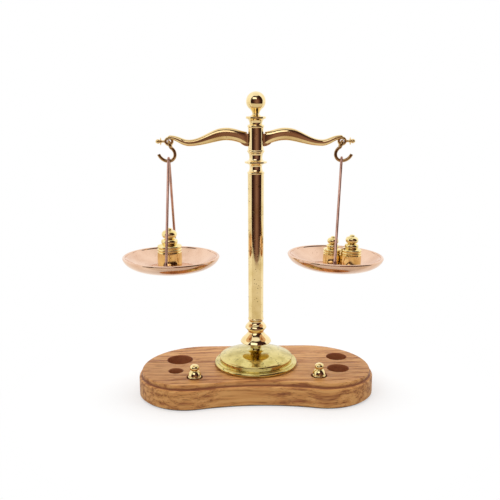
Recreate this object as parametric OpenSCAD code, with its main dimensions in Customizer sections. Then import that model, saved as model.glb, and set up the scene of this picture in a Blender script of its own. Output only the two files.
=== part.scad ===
// Small balance scale: a turned brass column on an oak plinth carries a swan-neck beam, two copper
// pans on wire bails, and a set of turned brass weights.
// Millimetres. The origin is on the column axis at the underside of the felt; +X right, +Y back, +Z up.

/* [Plinth] */
// Length of the plinth's top face, left to right
top_w = 182; // [178:1:200]
// From the column axis to the straight back edge of the top face
back_d = 42.4; // [41:0.2:48]
// From the column axis to the middle of the hollow front edge
waist_d = 38; // [36:0.5:40]
// Radius of the two back corners
corner_r = 50; // [46:1:54]
// Radius of the two front lobes
lobe_r = 36; // [35:0.5:38]
// Thickness of the oak
plinth_t = 19; // [16:0.5:26]
// How far the lower body stands out past the top face
ledge_w = 2.4; // [1.8:0.1:4]
// Depth of the ledge below the top face
ledge_drop = 4; // [3:0.2:6]
// Depth of the holes for the three larger weights
recess_depth = 9; // [6:0.5:11]
// Depth of the holes for the three small weights
small_recess_depth = 6.5; // [5:0.5:9]
// Thickness of the felt under the plinth
felt_t = 1; // [0.5:0.1:2]

/* [Column] */
// Outer radius of the foot plate
foot_r = 33.4; // [30:0.2:35]
// Height of the foot plate
foot_h = 19; // [16:0.5:24]
// Radius of the bell foot
bell_r = 12.35; // [11:0.05:14]
// Height of the bell foot
bell_h = 8.3; // [7:0.1:12]
// Radius of the knop under the shaft
knop_r = 8.4; // [7.6:0.1:10]
// Height of the knop
knop_h = 11.6; // [9:0.2:16]
// Radius of the shaft at its foot
shaft_r_foot = 5.95; // [5.2:0.05:7]
// Radius of the shaft at its top
shaft_r_top = 6.25; // [5.2:0.05:7]
// Length of the shaft
shaft_h = 115.7; // [113:0.1:150]
// Bore of the shaft tube
shaft_bore_r = 4.4; // [3:0.1:4.6]
// Radius of the capital's disc
capital_r = 8.6; // [8:0.1:10]
// Height of the capital
capital_h = 16.4; // [14:0.2:22]
// Radius of the finial's disc
finial_r = 7.7; // [7.6:0.1:9]
// Height of the finial above the head
finial_h = 27; // [22:0.5:36]
// Radius of the threaded tie rod
rod_r = 2; // [1.5:0.1:2.4]

/* [Head and pivot] */
// Outer radius of the slotted head
head_r = 6.05; // [6:0.05:7]
// Bore of the slotted head
head_bore_r = 4.6; // [4.5:0.05:4.9]
// Height of the slotted head
head_h = 18.9; // [18.5:0.1:24]
// Height of the beam's pivot above the foot of the head
pivot_up = 11; // [10.8:0.1:11.2]
// Radius of the pivot pin
pin_r = 1.2; // [1:0.05:1.4]

/* [Beam] */
// From the pivot to each eye
eye_x = 66.25; // [64:0.25:80]
// Drop of the eyes below the pivot
eye_drop = 2.5; // [2:0.1:4]
// Mean radius of an eye's ring
eye_ring_r = 2.6; // [2.6:0.05:2.9]
// Wire radius of an eye's ring
eye_wire_r = 1; // [0.85:0.05:1]
// Depth of the arms at the crest
arm_depth = 9.5; // [8:0.1:9.6]
// Width of the arms at the crest
arm_width = 5.6; // [4.5:0.1:6.5]
// Thickness of the flat tongue that enters the head
tongue_t = 3; // [2.4:0.1:3.2]

/* [Hooks and bails] */
// Wire radius of the hooks
hook_wire_r = 1.25; // [1:0.05:1.3]
// Radius of the long bend from a hook's loop down its inner side
hook_neck_r = 6.1; // [6:0.1:7]
// Radius of the bend from the inner side round to the foot of a hook
hook_bend_r = 4.9; // [4.8:0.1:5.4]
// Radius of the flatter bend out to a hook's tip
hook_tip_r = 8; // [7.5:0.1:10]
// Wire radius of the bails
bail_wire_r = 1.05; // [0.8:0.05:1.1]
// From a bail's top to the rim of its pan
bail_h = 76.5; // [70:0.5:82]
// Turn of the left bail on its hook, clockwise from above
bail_turn_left = 1.5; // [0:0.5:4]
// Turn of the right bail on its hook, clockwise from above
bail_turn_right = 9; // [0:0.5:10]
// Inward lean of all that hangs on the right, because its weights stand off centre
right_lean = 2.3; // [0:0.1:3]

/* [Pans] */
// Outer radius of the pans
pan_r = 38; // [36:0.5:42]
// Depth of the pans
pan_depth = 11; // [9.5:0.5:13]
// Thickness of the copper
pan_t = 0.9; // [0.7:0.1:1.2]

/* [Weights] */
// Body radius of the large weight
large_r = 9.65; // [8.5:0.05:9.8]
// Body radius of the narrower middle weight
medium_a_r = 7.25; // [6.5:0.05:7.4]
// Body radius of the broader middle weight
medium_b_r = 8.15; // [7:0.05:8.2]
// Body radius of the small weights
small_r = 5.2; // [4.5:0.05:5.4]

/* [Hidden] */
$fn = 96;

// Fits and clearances
pin_fit = 0.05;       // radial running clearance of the beam on its pin
press_fit = 0.01;     // radial clearance of a piece that is held fast
rod_gap = 0.15;       // radial clearance of the tie rod in a plain hole
slot_gap = 0.3;       // from each side of the tongue to the slot
hang_gap = 0.1;       // between two wires that hang on each other
seat_gap = 0.1;       // under a weight that stands on a pan or in a hole

// Levels up the column
oak_z = felt_t;
top_z = oak_z + plinth_t;
bell_z = top_z + foot_h;
knop_z = bell_z + bell_h;
shaft_z = knop_z + knop_h;
capital_z = shaft_z + shaft_h;
head_z = capital_z + capital_h;
pivot_z = head_z + pivot_up;
finial_z = head_z + head_h;

// Plinth outline: every arc is tangent to the next
corner_c = [top_w / 2 - corner_r, back_d - corner_r];
corner_end_a = -7;    // direction in which the back corner hands over to the front lobe
lobe_c = corner_c + (corner_r - lobe_r) * [cos(corner_end_a), sin(corner_end_a)];
waist_r = (pow(lobe_c.x, 2) + pow(waist_d + lobe_c.y, 2) - lobe_r * lobe_r)
          / (2 * (lobe_r - waist_d - lobe_c.y));
waist_c = [0, -waist_d - waist_r];
waist_half_a = atan2(lobe_c.x, lobe_c.y - waist_c.y);
ledge_round = 1.4;
cove_r = 0.9;
edge_round = 0.7;
edge_seg = 5;         // chords in each small round of the edge
felt_inset = 2;       // from the foot of the oak in to the felt

// Weight holes: [x, y, radius, depth]
large_recess = [-62.3, 10.2, large_r + 0.7, recess_depth];
medium_a_recess = [67.8, 13.2, medium_a_r + 1.05, recess_depth];
medium_b_recess = [65.4, -13.1, medium_b_r + 0.45, recess_depth];
smallest_recess = [-64, -14.7, 5.75, small_recess_depth];
small_recess_x = 48.5;
small_recess_y = -27.8;
small_recess_r = small_r + 1;

// Tie rod, washer and nut
counterbore_r = 8;
counterbore_h = 7;
washer_r = 7;
washer_t = 1.4;
nut_flats = 7;
nut_h = 3.2;
rod_end = 1;          // how far the rod stands out of the nut
head_floor = 3;       // solid foot of the head, tapped for the rod

// Beam, in heights from the pivot
crest = [22.5, 3];
trough = [51, -3.7];
scroll = [eye_x - 0.75, 3 - eye_drop];
scroll_end = [eye_x + 2.6, 1.3 - eye_drop];
trough_depth = 4.9;
scroll_depth = 3.1;
scroll_end_depth = 2.1;
crest_flat = 27;      // the arms start to taper here
trough_flat = 56;     // and they start to thin towards the scroll here
trough_width = 3.8;
scroll_width = 2.8;
scroll_end_width = 2;
section_power = 0.8;  // of the arm's section: 1 is an oval, and less is squarer
section_seg = 16;     // its corners
arm_root = 10.5;
arm_stations = 44;
plug_h = 2.5;         // how far the finial's plug enters the head
slot_foot = 3.4;      // from the foot of the head to the bottom of the slot
tongue_x = arm_root + 1;
tongue_rise = 4.1;
tongue_top = [6.4, 3.4];
tongue_foot = [6.4, -6.3];
tongue_flare = 0.4;   // bow of the tongue's lower corner
boss_r = 2.4;
boss_half = 3.7;
eye_z = pivot_z - eye_drop;

// Hooks: the closed loop hangs in the beam's eye, the open bend carries the bail
hook_hole_r = eye_ring_r - eye_wire_r;
hinge_z = eye_z - (hook_hole_r - hook_wire_r - hang_gap);
loop_r = eye_wire_r + hook_wire_r + 2 * hang_gap;
loop_lean = 18;       // inward lean of the closed loop
loop_foot = [-2 * loop_r * sin(loop_lean), -2 * loop_r * cos(loop_lean)];
hook_foot_x = 0.5;    // the foot of a hook lies this far outward from the eye
neck_x = hook_foot_x - hook_bend_r + hook_neck_r;
neck_a = acos((neck_x - loop_foot.x) / hook_neck_r);
neck_z = hinge_z + loop_foot.y - hook_neck_r * sin(neck_a);
hook_foot_z = neck_z - hook_bend_r;
hook_tip_a = 70;      // sweep of the flatter bend

// Bails
crown_r = hook_wire_r + bail_wire_r + hang_gap + 0.35;
crown_z = hook_foot_z + hook_wire_r + bail_wire_r + hang_gap - crown_r;
rim_z = crown_z + crown_r - bail_h;
bend_bead = 0.03;     // the wire is this much thicker where it is bent
foot_leaf_r = 2.5;
foot_leaf_t = 0.9;
foot_gap = 0.65;      // behind the middle of a flat foot, whose edges meet the curved wall
foot_at_r = pan_r - 1.4;

// Pans
floor_r = 16;
wall_seg = 16;
pan_z = rim_z - pan_depth;
pan_floor_z = pan_z + pan_t;

// Weights on the pans, as [x, y, z] from the middle of the pan's floor
large_at = [-1.2, 2, 0];
medium_a_at = [-2.05, 4, 0];
medium_b_at = [11.8, -3.5, 0.12];   // its edge stands on the foot of the wall

// Height of a weight for each unit of its body radius
weight_tall = 3.26;
small_tall = 3.1;

// ---------------------------------------------------------------- curves

// Points of the arc from p to q that bows out by rise to the right of the way, without q
function bow(p, q, rise, seg = 8) =
  let (
    chord = norm(q - p),
    side = [q.y - p.y, p.x - q.x] / chord,
    r = (chord * chord / 4 + rise * rise) / (2 * rise),
    c = (p + q) / 2 + side * (rise - r),
    start = atan2(p.y - c.y, p.x - c.x),
    sweep = 4 * atan2(2 * rise, chord)
  )
  [for (i = [0:seg - 1]) c + norm(p - c) * [cos(start + sweep * i / seg), sin(start + sweep * i / seg)]];

// Profile of a turned piece from rows of [radius, height, bow], in shares of r and h; the bow of a row is
// the rise, in shares of the chord, of the arc to the next row, and 0 leaves a straight line
function turned_profile(rows, r, h, seg = 8) =
  [for (i = [0:len(rows) - 1])
    let (
      p = [rows[i][0] * r, rows[i][1] * h],
      next = rows[min(i + 1, len(rows) - 1)],
      q = [next[0] * r, next[1] * h]
    )
    each (rows[i][2] == 0 ? [p] : bow(p, q, rows[i][2] * norm(q - p), seg))];

// Value at x of the half cosine wave that turns at the points a and b
function wave(x, a, b) = a.y + (b.y - a.y) * (1 - cos(180 * (x - a.x) / (b.x - a.x))) / 2;

// Points of the arc about c from angle a to angle b, without the last
function arc_points(c, r, a, b, seg) =
  [for (i = [0:seg - 1]) let (t = a + (b - a) * i / seg) c + r * [cos(t), sin(t)]];

// Quarter round about c from angle a to angle b
function round_corner(c, r, a, b) =
  [for (i = [0:edge_seg]) c + r * [cos(a + (b - a) * i / edge_seg), sin(a + (b - a) * i / edge_seg)]];

// A turned piece with a plain hole for the tie rod
module turned(rows, r, h, hole_r) {
  rotate_extrude()
    polygon(concat([[hole_r, 0]], turned_profile(rows, r, h), [[hole_r, h]]));
}

// A straight round bar from p to q
module bar(p, q, r) {
  d = q - p;
  translate(p)
    rotate([0, acos(d.z / norm(d)), atan2(d.y, d.x)])
      cylinder(h = norm(d), r = r);
}

// ---------------------------------------------------------------- plinth

// Section of the plinth's edge from the bottom up, as [outward from the edge of the top face, height]
function edge_section() =
  let (ledge_z = plinth_t - ledge_drop)
  concat(
    [[ledge_w - edge_round, 0], [ledge_w, edge_round]],
    round_corner([ledge_w - ledge_round, ledge_z - ledge_round], ledge_round, 0, 90),
    round_corner([cove_r, ledge_z + cove_r], cove_r, 270, 180),
    round_corner([-edge_round, plinth_t - edge_round], edge_round, 0, 90)
  );

// Right half of the top face's outline from the back to the front, grown outward by grow
function half_outline(grow) = concat(
  arc_points(corner_c, corner_r + grow, 90, corner_end_a, 16),
  arc_points(lobe_c, lobe_r + grow, corner_end_a, -90 - waist_half_a, 16),
  arc_points(waist_c, waist_r - grow, 90 - waist_half_a, 90, 6),
  [waist_c + [0, waist_r - grow]]
);

// The whole outline, clockwise from above
function outline(grow) =
  let (half = half_outline(grow))
  concat(half, [for (i = [len(half) - 2:-1:0]) [-half[i].x, half[i].y]]);

// The board: the edge section carried round the outline
module board() {
  section = edge_section();
  loops = [for (p = section) [for (q = outline(p.x)) [q.x, q.y, p.y]]];
  n = len(loops[0]);
  m = len(section);
  sides = [for (i = [0:m - 2], j = [0:n - 1])
    [i * n + j, (i + 1) * n + j, (i + 1) * n + (j + 1) % n, i * n + (j + 1) % n]];
  bottom = [for (j = [n - 1:-1:0]) j];
  top = [for (j = [0:n - 1]) (m - 1) * n + j];
  polyhedron([for (loop = loops) each loop], concat(sides, [bottom, top]), convexity = 4);
}

module recess(at) {
  translate([at[0], at[1], top_z - at[3]])
    cylinder(h = at[3] + 1, r = at[2]);
}

module plinth() {
  color("#C9924F")
    difference() {
      translate([0, 0, oak_z])
        board();
      for (at = [large_recess, medium_a_recess, medium_b_recess, smallest_recess])
        recess(at);
      for (side = [-1, 1])
        recess([side * small_recess_x, small_recess_y, small_recess_r, small_recess_depth]);
      cylinder(h = top_z + 1, r = rod_r + rod_gap);
      cylinder(h = oak_z + counterbore_h, r = counterbore_r);
    }
}

module base_felt() {
  color("#2F3B33")
    linear_extrude(felt_t)
      polygon(outline(ledge_w - felt_inset));
}

// ---------------------------------------------------------------- column

module foot_plate() {
  rows = [
    [0.955, 0, 0.4545], [0.955, 0.174, 0], [0.910, 0.153, 0], [0.877, 0.174, 0], [0.877, 0.321, 0.2],
    [0.838, 0.395, 0], [0.826, 0.400, -0.107], [0.299, 1, 0]
  ];
  color("#D8CF95")
    translate([0, 0, top_z])
      turned(rows, foot_r, foot_h, rod_r + rod_gap);
}

module bell_foot() {
  rows = [
    [0.98, 0, 0], [1, 0.03, 0], [1, 0.055, 0.1], [0.753, 0.506, 0], [0.71, 0.53, 0],
    [0.69, 0.614, -0.12], [0.413, 1, 0]
  ];
  color("#D9B96A")
    translate([0, 0, bell_z])
      turned(rows, bell_r, bell_h, rod_r + rod_gap);
}

module knop() {
  rows = [
    [0.62, 0, 0], [0.94, 0.112, 0], [0.964, 0.13, 0.16], [0.774, 0.448, -0.06], [0.619, 0.672, -0.1],
    [0.72, 0.81, 0.12], [0.726, 0.966, 0], [0.70, 1, 0]
  ];
  color("#D9B96A")
    translate([0, 0, knop_z])
      turned(rows, knop_r, knop_h, rod_r + rod_gap);
}

module shaft() {
  color("#E3C77A")
    translate([0, 0, shaft_z])
      difference() {
        cylinder(h = shaft_h, r1 = shaft_r_foot, r2 = shaft_r_top);
        translate([0, 0, -1])
          cylinder(h = shaft_h + 2, r = shaft_bore_r);
      }
}

module capital() {
  rows = [
    [0.738, 0, 0], [0.75, 0.009, 0.12], [0.75, 0.091, 0], [0.651, 0.122, -0.08], [0.564, 0.366, -0.1],
    [0.721, 0.463, -0.1], [0.977, 0.506, 0], [1, 0.515, 0], [1, 0.579, 0], [0.965, 0.591, 0],
    [0.663, 0.634, -0.08], [0.581, 0.787, 0], [0.605, 0.86, -0.1], [0.69, 0.976, 0], [0.69, 1, 0]
  ];
  color("#D9B96A")
    translate([0, 0, capital_z])
      turned(rows, capital_r, capital_h, rod_r + rod_gap);
}

module head() {
  ring_h = 1.8;
  outside = concat(
    [[rod_r + press_fit, 0], [head_r + 0.15, 0]],
    bow([head_r + 0.15, 0.1], [head_r + 0.15, ring_h], 0.25),
    [[head_r + 0.15, ring_h], [head_r, ring_h + 0.1], [head_r, head_h]]
  );
  inside = [[head_bore_r, head_h], [head_bore_r, head_floor], [rod_r + press_fit, head_floor]];
  slot_w = tongue_t + 2 * slot_gap;
  color("#D9B96A")
    translate([0, 0, head_z])
      difference() {
        rotate_extrude()
          polygon(concat(outside, inside));
        translate([-10, -slot_w / 2, slot_foot])
          cube([20, slot_w, head_h]);
        translate([0, 10, pivot_up])
          rotate([90, 0, 0])
            cylinder(h = 20, r = pin_r + press_fit);
      }
}

module finial() {
  rows = [
    [0.792, 0, 0], [0.805, 0.004, 0.15], [0.805, 0.067, 0], [0.623, 0.096, -0.05], [0.688, 0.181, -0.12],
    [0.961, 0.248, 0], [1, 0.256, 0], [1, 0.296, 0], [0.935, 0.311, -0.1], [0.442, 0.344, -0.1],
    [0.351, 0.389, -0.1], [0.723, 0.541, 0.324], [0, 1, 0]
  ];
  plug_r = head_bore_r - press_fit;
  color("#DDBE6C")
    translate([0, 0, finial_z])
      rotate_extrude()
        polygon(concat([[0, -plug_h], [plug_r, -plug_h], [plug_r, 0]],
                       turned_profile(rows, finial_r, finial_h, 10)));
}

module tie_rod() {
  bottom = oak_z + counterbore_h - washer_t - nut_h - rod_end;
  color("#A9ABAE")
    translate([0, 0, bottom])
      cylinder(h = head_z + head_floor - 0.3 - bottom, r = rod_r);
}

module tie_washer() {
  color("#B5B7BA")
    translate([0, 0, oak_z + counterbore_h - washer_t])
      difference() {
        cylinder(h = washer_t, r = washer_r);
        translate([0, 0, -1]) cylinder(h = washer_t + 2, r = rod_r + rod_gap);
      }
}

module tie_nut() {
  color("#A9ABAE")
    translate([0, 0, oak_z + counterbore_h - washer_t - nut_h])
      difference() {
        cylinder(h = nut_h, r = nut_flats / sqrt(3), $fn = 6);
        translate([0, 0, -1]) cylinder(h = nut_h + 2, r = rod_r + press_fit);
      }
}

module fulcrum_pin() {
  color("#B08D45")
    translate([0, head_r, pivot_z])
      rotate([90, 0, 0])
        cylinder(h = 2 * head_r, r = pin_r);
}

// ---------------------------------------------------------------- beam

// Height of the arm's middle line, its depth and its width at x
function arm_mid(x) =
  x < trough.x ? wave(x, crest, trough)
  : x < scroll.x ? wave(x, trough, scroll)
  : wave(x, scroll, scroll_end);
function arm_size(x, top, low, end, last) =
  x < crest_flat ? top
  : x < trough.x ? wave(x, [crest_flat, top], [trough.x, low])
  : x < trough_flat ? low
  : x < scroll.x ? wave(x, [trough_flat, low], [scroll.x, end])
  : wave(x, [scroll.x, end], [scroll_end.x, last]);

// Corners of the arm's section in shares of half its width and half its depth: an oval with its
// sides filled out towards a rectangle
arm_corners = [for (i = [0:section_seg - 1])
  let (a = 360 * (i + 0.5) / section_seg)
  [sign(cos(a)) * pow(abs(cos(a)), section_power), sign(sin(a)) * pow(abs(sin(a)), section_power)]];

// One swan-neck arm, swept through upright sections from the tongue to the scroll over the eye
module arm() {
  n = len(arm_corners);
  points = [for (i = [0:arm_stations])
    let (
      x = arm_root + (scroll_end.x - arm_root) * i / arm_stations,
      w = arm_size(x, arm_width, trough_width, scroll_width, scroll_end_width) / 2,
      h = arm_size(x, arm_depth, trough_depth, scroll_depth, scroll_end_depth) / 2
    )
    each [for (c = arm_corners) [x, c.x * w, arm_mid(x) + c.y * h]]];
  sides = [for (i = [0:arm_stations - 1], j = [0:n - 1])
    [i * n + j, (i + 1) * n + j, (i + 1) * n + (j + 1) % n, i * n + (j + 1) % n]];
  root = [for (j = [0:n - 1]) j];
  tip = [for (j = [n - 1:-1:0]) arm_stations * n + j];
  polyhedron(points, concat(sides, [root, tip]), convexity = 6);
}

// Half of the tongue's outline, right of the pivot, from the top to the flare at the foot
function half_tongue() =
  concat([tongue_top, [tongue_x, tongue_rise], [tongue_x, -tongue_rise]],
         bow([tongue_x, -tongue_rise], tongue_foot, -tongue_flare),
         [tongue_foot]);

// Small turned knob on the outer end of an arm, along +X from the eye's centre
module end_knob() {
  profile = [
    [0, 3.2], [1.0, 3.2], [0.85, 5.0], [1.2, 5.6], [2.9, 6.1], [2.9, 6.5], [1.2, 6.9], [1.25, 7.2],
    [1.65, 7.7], [1.75, 8.4], [1.5, 9.3], [0.9, 10.0], [0, 10.3]
  ];
  rotate([0, 90, 0])
    rotate_extrude()
      polygon(profile);
}

module eye() {
  rotate([90, 0, 0])
    rotate_extrude()
      translate([eye_ring_r, 0])
        circle(r = eye_wire_r, $fn = 32);
}

// The right-hand arm with its eye and knob
module arm_end() {
  arm();
  translate([eye_x, 0, -eye_drop]) {
    eye();
    end_knob();
  }
}

module beam() {
  half = half_tongue();
  color("#C9A45A")
    translate([0, 0, pivot_z])
      difference() {
        union() {
          translate([0, tongue_t / 2, 0])
            rotate([90, 0, 0])
              linear_extrude(tongue_t)
                polygon(concat(half, [for (i = [len(half) - 1:-1:0]) [-half[i].x, half[i].y]]));
          translate([0, boss_half, 0])
            rotate([90, 0, 0])
              cylinder(h = 2 * boss_half, r = boss_r);
          arm_end();
          mirror([1, 0, 0]) arm_end();
        }
        translate([0, 2 * boss_half, 0])
          rotate([90, 0, 0])
            cylinder(h = 4 * boss_half, r = pin_r + pin_fit);
      }
}

// ---------------------------------------------------------------- hooks, bails and pans

// Wire bent to radius r about the local Z axis, from angle a to angle b
module bent_wire(r, wire_r, a, b) {
  rotate([0, 0, a])
    rotate_extrude(angle = b - a)
      translate([r, 0])
        circle(r = wire_r, $fn = 32);
}

// Hook of the right-hand side, with X measured outward from the eye
module hook() {
  translate([0, 0, hinge_z])
    rotate([0, loop_lean, 0])
      translate([0, 0, -loop_r])
        rotate([90, 0, 90])
          bent_wire(loop_r, hook_wire_r, 0, 360);
  translate([neck_x, 0, neck_z])
    rotate([-90, 0, 0])
      bent_wire(hook_neck_r, hook_wire_r, 180, 180 + neck_a);
  translate([hook_foot_x, 0, neck_z])
    rotate([90, 0, 0])
      bent_wire(hook_bend_r, hook_wire_r, 180, 270);
  translate([hook_foot_x, 0, hook_foot_z + hook_tip_r])
    rotate([90, 0, 0])
      bent_wire(hook_tip_r, hook_wire_r, 270, 270 + hook_tip_a);
}

// Places what hangs from the eye of one side, and leans it to the left about that eye
module hung(side, lean) {
  translate([side * eye_x, 0, hinge_z])
    rotate([0, lean, 0])
      translate([0, 0, -hinge_z])
        children();
}

// The same for what hangs from the foot of the hook
module hung_below(side, lean) {
  hung(side, lean)
    translate([side * hook_foot_x, 0, 0])
      children();
}

module hook_right() {
  color("#9C7B4C")
    hung(1, right_lean)
      hook();
}

module hook_left() {
  color("#9C7B4C")
    hung(-1, 0)
      mirror([1, 0, 0])
        hook();
}

// Point of the pan's wall, a quarter oval from the floor at a = 0 to the rim at a = 90, moved into
// the pan by depth, and the angle at which the wall rises there
function wall_point(a, depth) =
  [floor_r + (pan_r - floor_r - depth) * sin(a), depth + (pan_depth - depth) * (1 - cos(a))];
function wall_rise(a, depth) = atan2((pan_depth - depth) * sin(a), (pan_r - floor_r - depth) * cos(a));

module pan() {
  angles = [for (i = [0:wall_seg]) 90 * i / wall_seg];
  color("#E3B79C")
    translate([0, 0, pan_z])
      rotate_extrude()
        polygon(concat(
          [[0, 0]],
          [for (a = angles) wall_point(a, 0)],
          [for (i = [wall_seg:-1:0]) wall_point(angles[i], pan_t)],
          [[0, pan_t]]
        ));
}

// Bail in the YZ plane: a round crown over the hook, two straight legs, and a flat foot on the wall
module bail() {
  at_a = asin((foot_at_r - floor_r) / (pan_r - floor_r - pan_t));
  foot_a = wall_rise(at_a, pan_t);
  foot = wall_point(at_a, pan_t) + (foot_gap + foot_leaf_t / 2) * [-sin(foot_a), cos(foot_a)];
  foot_at = [foot.x, pan_z + foot.y];
  reach = foot_at - [0, crown_z];
  start_a = atan2(reach.y, reach.x) + acos(crown_r / norm(reach));
  start = [crown_r * cos(start_a), crown_z + crown_r * sin(start_a)];
  color("#D9AE9C") {
    translate([0, 0, crown_z])
      rotate([90, 0, 90])
        bent_wire(crown_r, bail_wire_r, start_a, 180 - start_a);
    for (side = [-1, 1]) {
      translate([0, side * start.x, start.y])
        sphere(r = bail_wire_r + bend_bead);
      bar([0, side * start.x, start.y], [0, side * foot_at.x, foot_at.y], bail_wire_r);
      translate([0, side * foot_at.x, foot_at.y])
        rotate([side * foot_a, 0, 0])
          translate([0, 0, -foot_leaf_t / 2])
            cylinder(h = foot_leaf_t, r = foot_leaf_r);
    }
  }
}

module bail_left() {
  hung_below(-1, 0)
    rotate([0, 0, -bail_turn_left])
      bail();
}

module bail_right() {
  hung_below(1, right_lean)
    rotate([0, 0, -bail_turn_right])
      bail();
}

module pan_left() {
  hung_below(-1, 0) pan();
}

module pan_right() {
  hung_below(1, right_lean) pan();
}

// ---------------------------------------------------------------- weights

// Shares of the body radius and of the whole height: body, double ring, bulge, neck, knob and button
weight_rows = [
  [0.88, 0, 0.12], [0.98, 0.035, 0.02], [0.98, 0.415, 0], [0.92, 0.428, 0], [0.95, 0.435, 0.25],
  [0.95, 0.497, 0], [0.90, 0.505, 0], [0.94, 0.512, 0.25], [0.94, 0.578, 0], [0.84, 0.588, 0],
  [0.60, 0.615, 0.22], [0.58, 0.73, 0], [0.38, 0.742, 0], [0.38, 0.752, 0.42], [0.30, 0.955, 0],
  [0.26, 0.962, 0.3], [0, 1, 0]
];

// Small weights: round-edged body, groove, bell-shaped skirt and knob
small_rows = [
  [0.90, 0, 0.1], [0.98, 0.04, 0], [0.98, 0.47, 0.14], [0.86, 0.54, 0], [0.86, 0.56, 0],
  [0.99, 0.6, 0.1], [0.93, 0.65, -0.14], [0.44, 0.76, 0], [0.42, 0.775, 0.48], [0, 1, 0]
];

module weight(rows, r, h) {
  color("#E2C678")
    rotate_extrude()
      polygon(concat([[0, 0]], turned_profile(rows, r, h)));
}

// Stands a weight on a pan at a point given from the middle of the pan's floor
module on_pan(at) {
  translate(at + [0, 0, pan_floor_z + seat_gap])
    children();
}

module weight_large() {
  hung_below(-1, 0)
    on_pan(large_at)
      weight(weight_rows, large_r, large_r * weight_tall);
}

module weight_medium_a() {
  hung_below(1, right_lean)
    on_pan(medium_a_at)
      weight(weight_rows, medium_a_r, medium_a_r * weight_tall);
}

module weight_medium_b() {
  hung_below(1, right_lean)
    on_pan(medium_b_at)
      weight(weight_rows, medium_b_r, medium_b_r * weight_tall);
}

module weight_small_left() {
  translate([-small_recess_x, small_recess_y, top_z - small_recess_depth + seat_gap])
    weight(small_rows, small_r, small_r * small_tall);
}

module weight_small_right() {
  translate([small_recess_x, small_recess_y, top_z - small_recess_depth + seat_gap])
    weight(small_rows, small_r, small_r * small_tall);
}

plinth();
base_felt();
foot_plate();
bell_foot();
knop();
shaft();
capital();
head();
finial();
tie_rod();
tie_washer();
tie_nut();
fulcrum_pin();
beam();
hook_left();
hook_right();
bail_left();
bail_right();
pan_left();
pan_right();
weight_large();
weight_medium_a();
weight_medium_b();
weight_small_left();
weight_small_right();
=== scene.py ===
"""Looks of a small balance scale: turned brass, bent wire, copper pans and an oak plinth.

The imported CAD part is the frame.  Each class below makes the smooth, finely detailed pieces
of one sub-assembly in the part's own frame and dresses them in the finish of the real
material.  Lengths are in millimetres until a mesh is made, and then in metres.
"""

import logging
import math
from dataclasses import dataclass
from enum import Enum
from typing import Any, Optional

import bmesh
import bpy
import numpy as np
from mathutils import Matrix

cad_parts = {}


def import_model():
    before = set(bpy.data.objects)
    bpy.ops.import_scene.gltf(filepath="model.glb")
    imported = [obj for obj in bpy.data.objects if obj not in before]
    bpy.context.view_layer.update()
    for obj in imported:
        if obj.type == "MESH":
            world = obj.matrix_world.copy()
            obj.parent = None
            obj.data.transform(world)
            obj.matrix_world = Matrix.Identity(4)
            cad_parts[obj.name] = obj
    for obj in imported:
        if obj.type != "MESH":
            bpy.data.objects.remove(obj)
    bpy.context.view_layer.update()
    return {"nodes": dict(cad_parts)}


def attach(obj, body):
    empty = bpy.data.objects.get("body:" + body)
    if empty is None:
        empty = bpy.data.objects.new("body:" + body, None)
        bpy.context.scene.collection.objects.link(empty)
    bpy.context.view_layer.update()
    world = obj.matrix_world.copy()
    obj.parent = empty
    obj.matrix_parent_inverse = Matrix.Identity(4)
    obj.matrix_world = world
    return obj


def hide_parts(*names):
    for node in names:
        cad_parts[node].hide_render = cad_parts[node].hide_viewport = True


MM = 0.001
SMOOTH_ANGLE = math.radians(32)
log = logging.getLogger("balance")


# Radius share, height share and bow of each turning point of a turned piece.
Rows = tuple[tuple[float, float, float], ...]


class Side(Enum):
    """Which end of the balance a piece belongs to; the value is its sign along X."""

    LEFT = -1
    RIGHT = 1


class Lay(Enum):
    """Axis that an upright turned piece is laid along; the value is the turn that does it."""

    ALONG_X = ((0, 0, 1), (0, 1, 0), (-1, 0, 0))
    ALONG_Y = ((1, 0, 0), (0, 0, 1), (0, -1, 0))


class Tool(Enum):
    """What a second solid does to the first; the value is the modifier's word for it."""

    JOINS = "UNION"
    CUTS = "DIFFERENCE"


# ---------------------------------------------------------------- meshes


def turned_line(rows: Rows, radius: float, height: float, steps: int = 12) -> np.ndarray:
    """Works out the outline of a turned piece, from its foot to its top.

    Between two rows the outline is the circular arc whose rise over the middle of the chord
    is the first row's bow, as a share of the chord.  With phi = 2 atan(2 bow) and t from 0 to
    1, the arc is at sin((2t-1)phi) / (2 sin phi) + 1/2 along the chord and at
    (cos((2t-1)phi) - cos phi) / (2 sin phi) to the right of it.

    Args:
        rows: Radius share, height share and bow of each turning point.
        radius: Length that a radius share of 1 stands for.
        height: Length that a height share of 1 stands for.
        steps: Points on each arc.

    Returns:
        An N by 2 array of radius and height.
    """
    table = np.array(rows, float)
    knots = table[:, :2] * (radius, height)
    parts = []
    for start, end, bow in zip(knots[:-1], knots[1:], table[:-1, 2]):
        if bow == 0:
            parts.append(start[None, :])
            continue
        phi = 2 * math.atan(2 * bow)
        t = np.arange(steps)[:, None] / steps
        along = 0.5 + np.sin((2 * t - 1) * phi) / (2 * math.sin(phi))
        across = (np.cos((2 * t - 1) * phi) - math.cos(phi)) / (2 * math.sin(phi))
        chord = end - start
        parts.append(start + along * chord + across * np.array([chord[1], -chord[0]]))
    parts.append(knots[-1:])
    return np.concatenate(parts)


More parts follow.
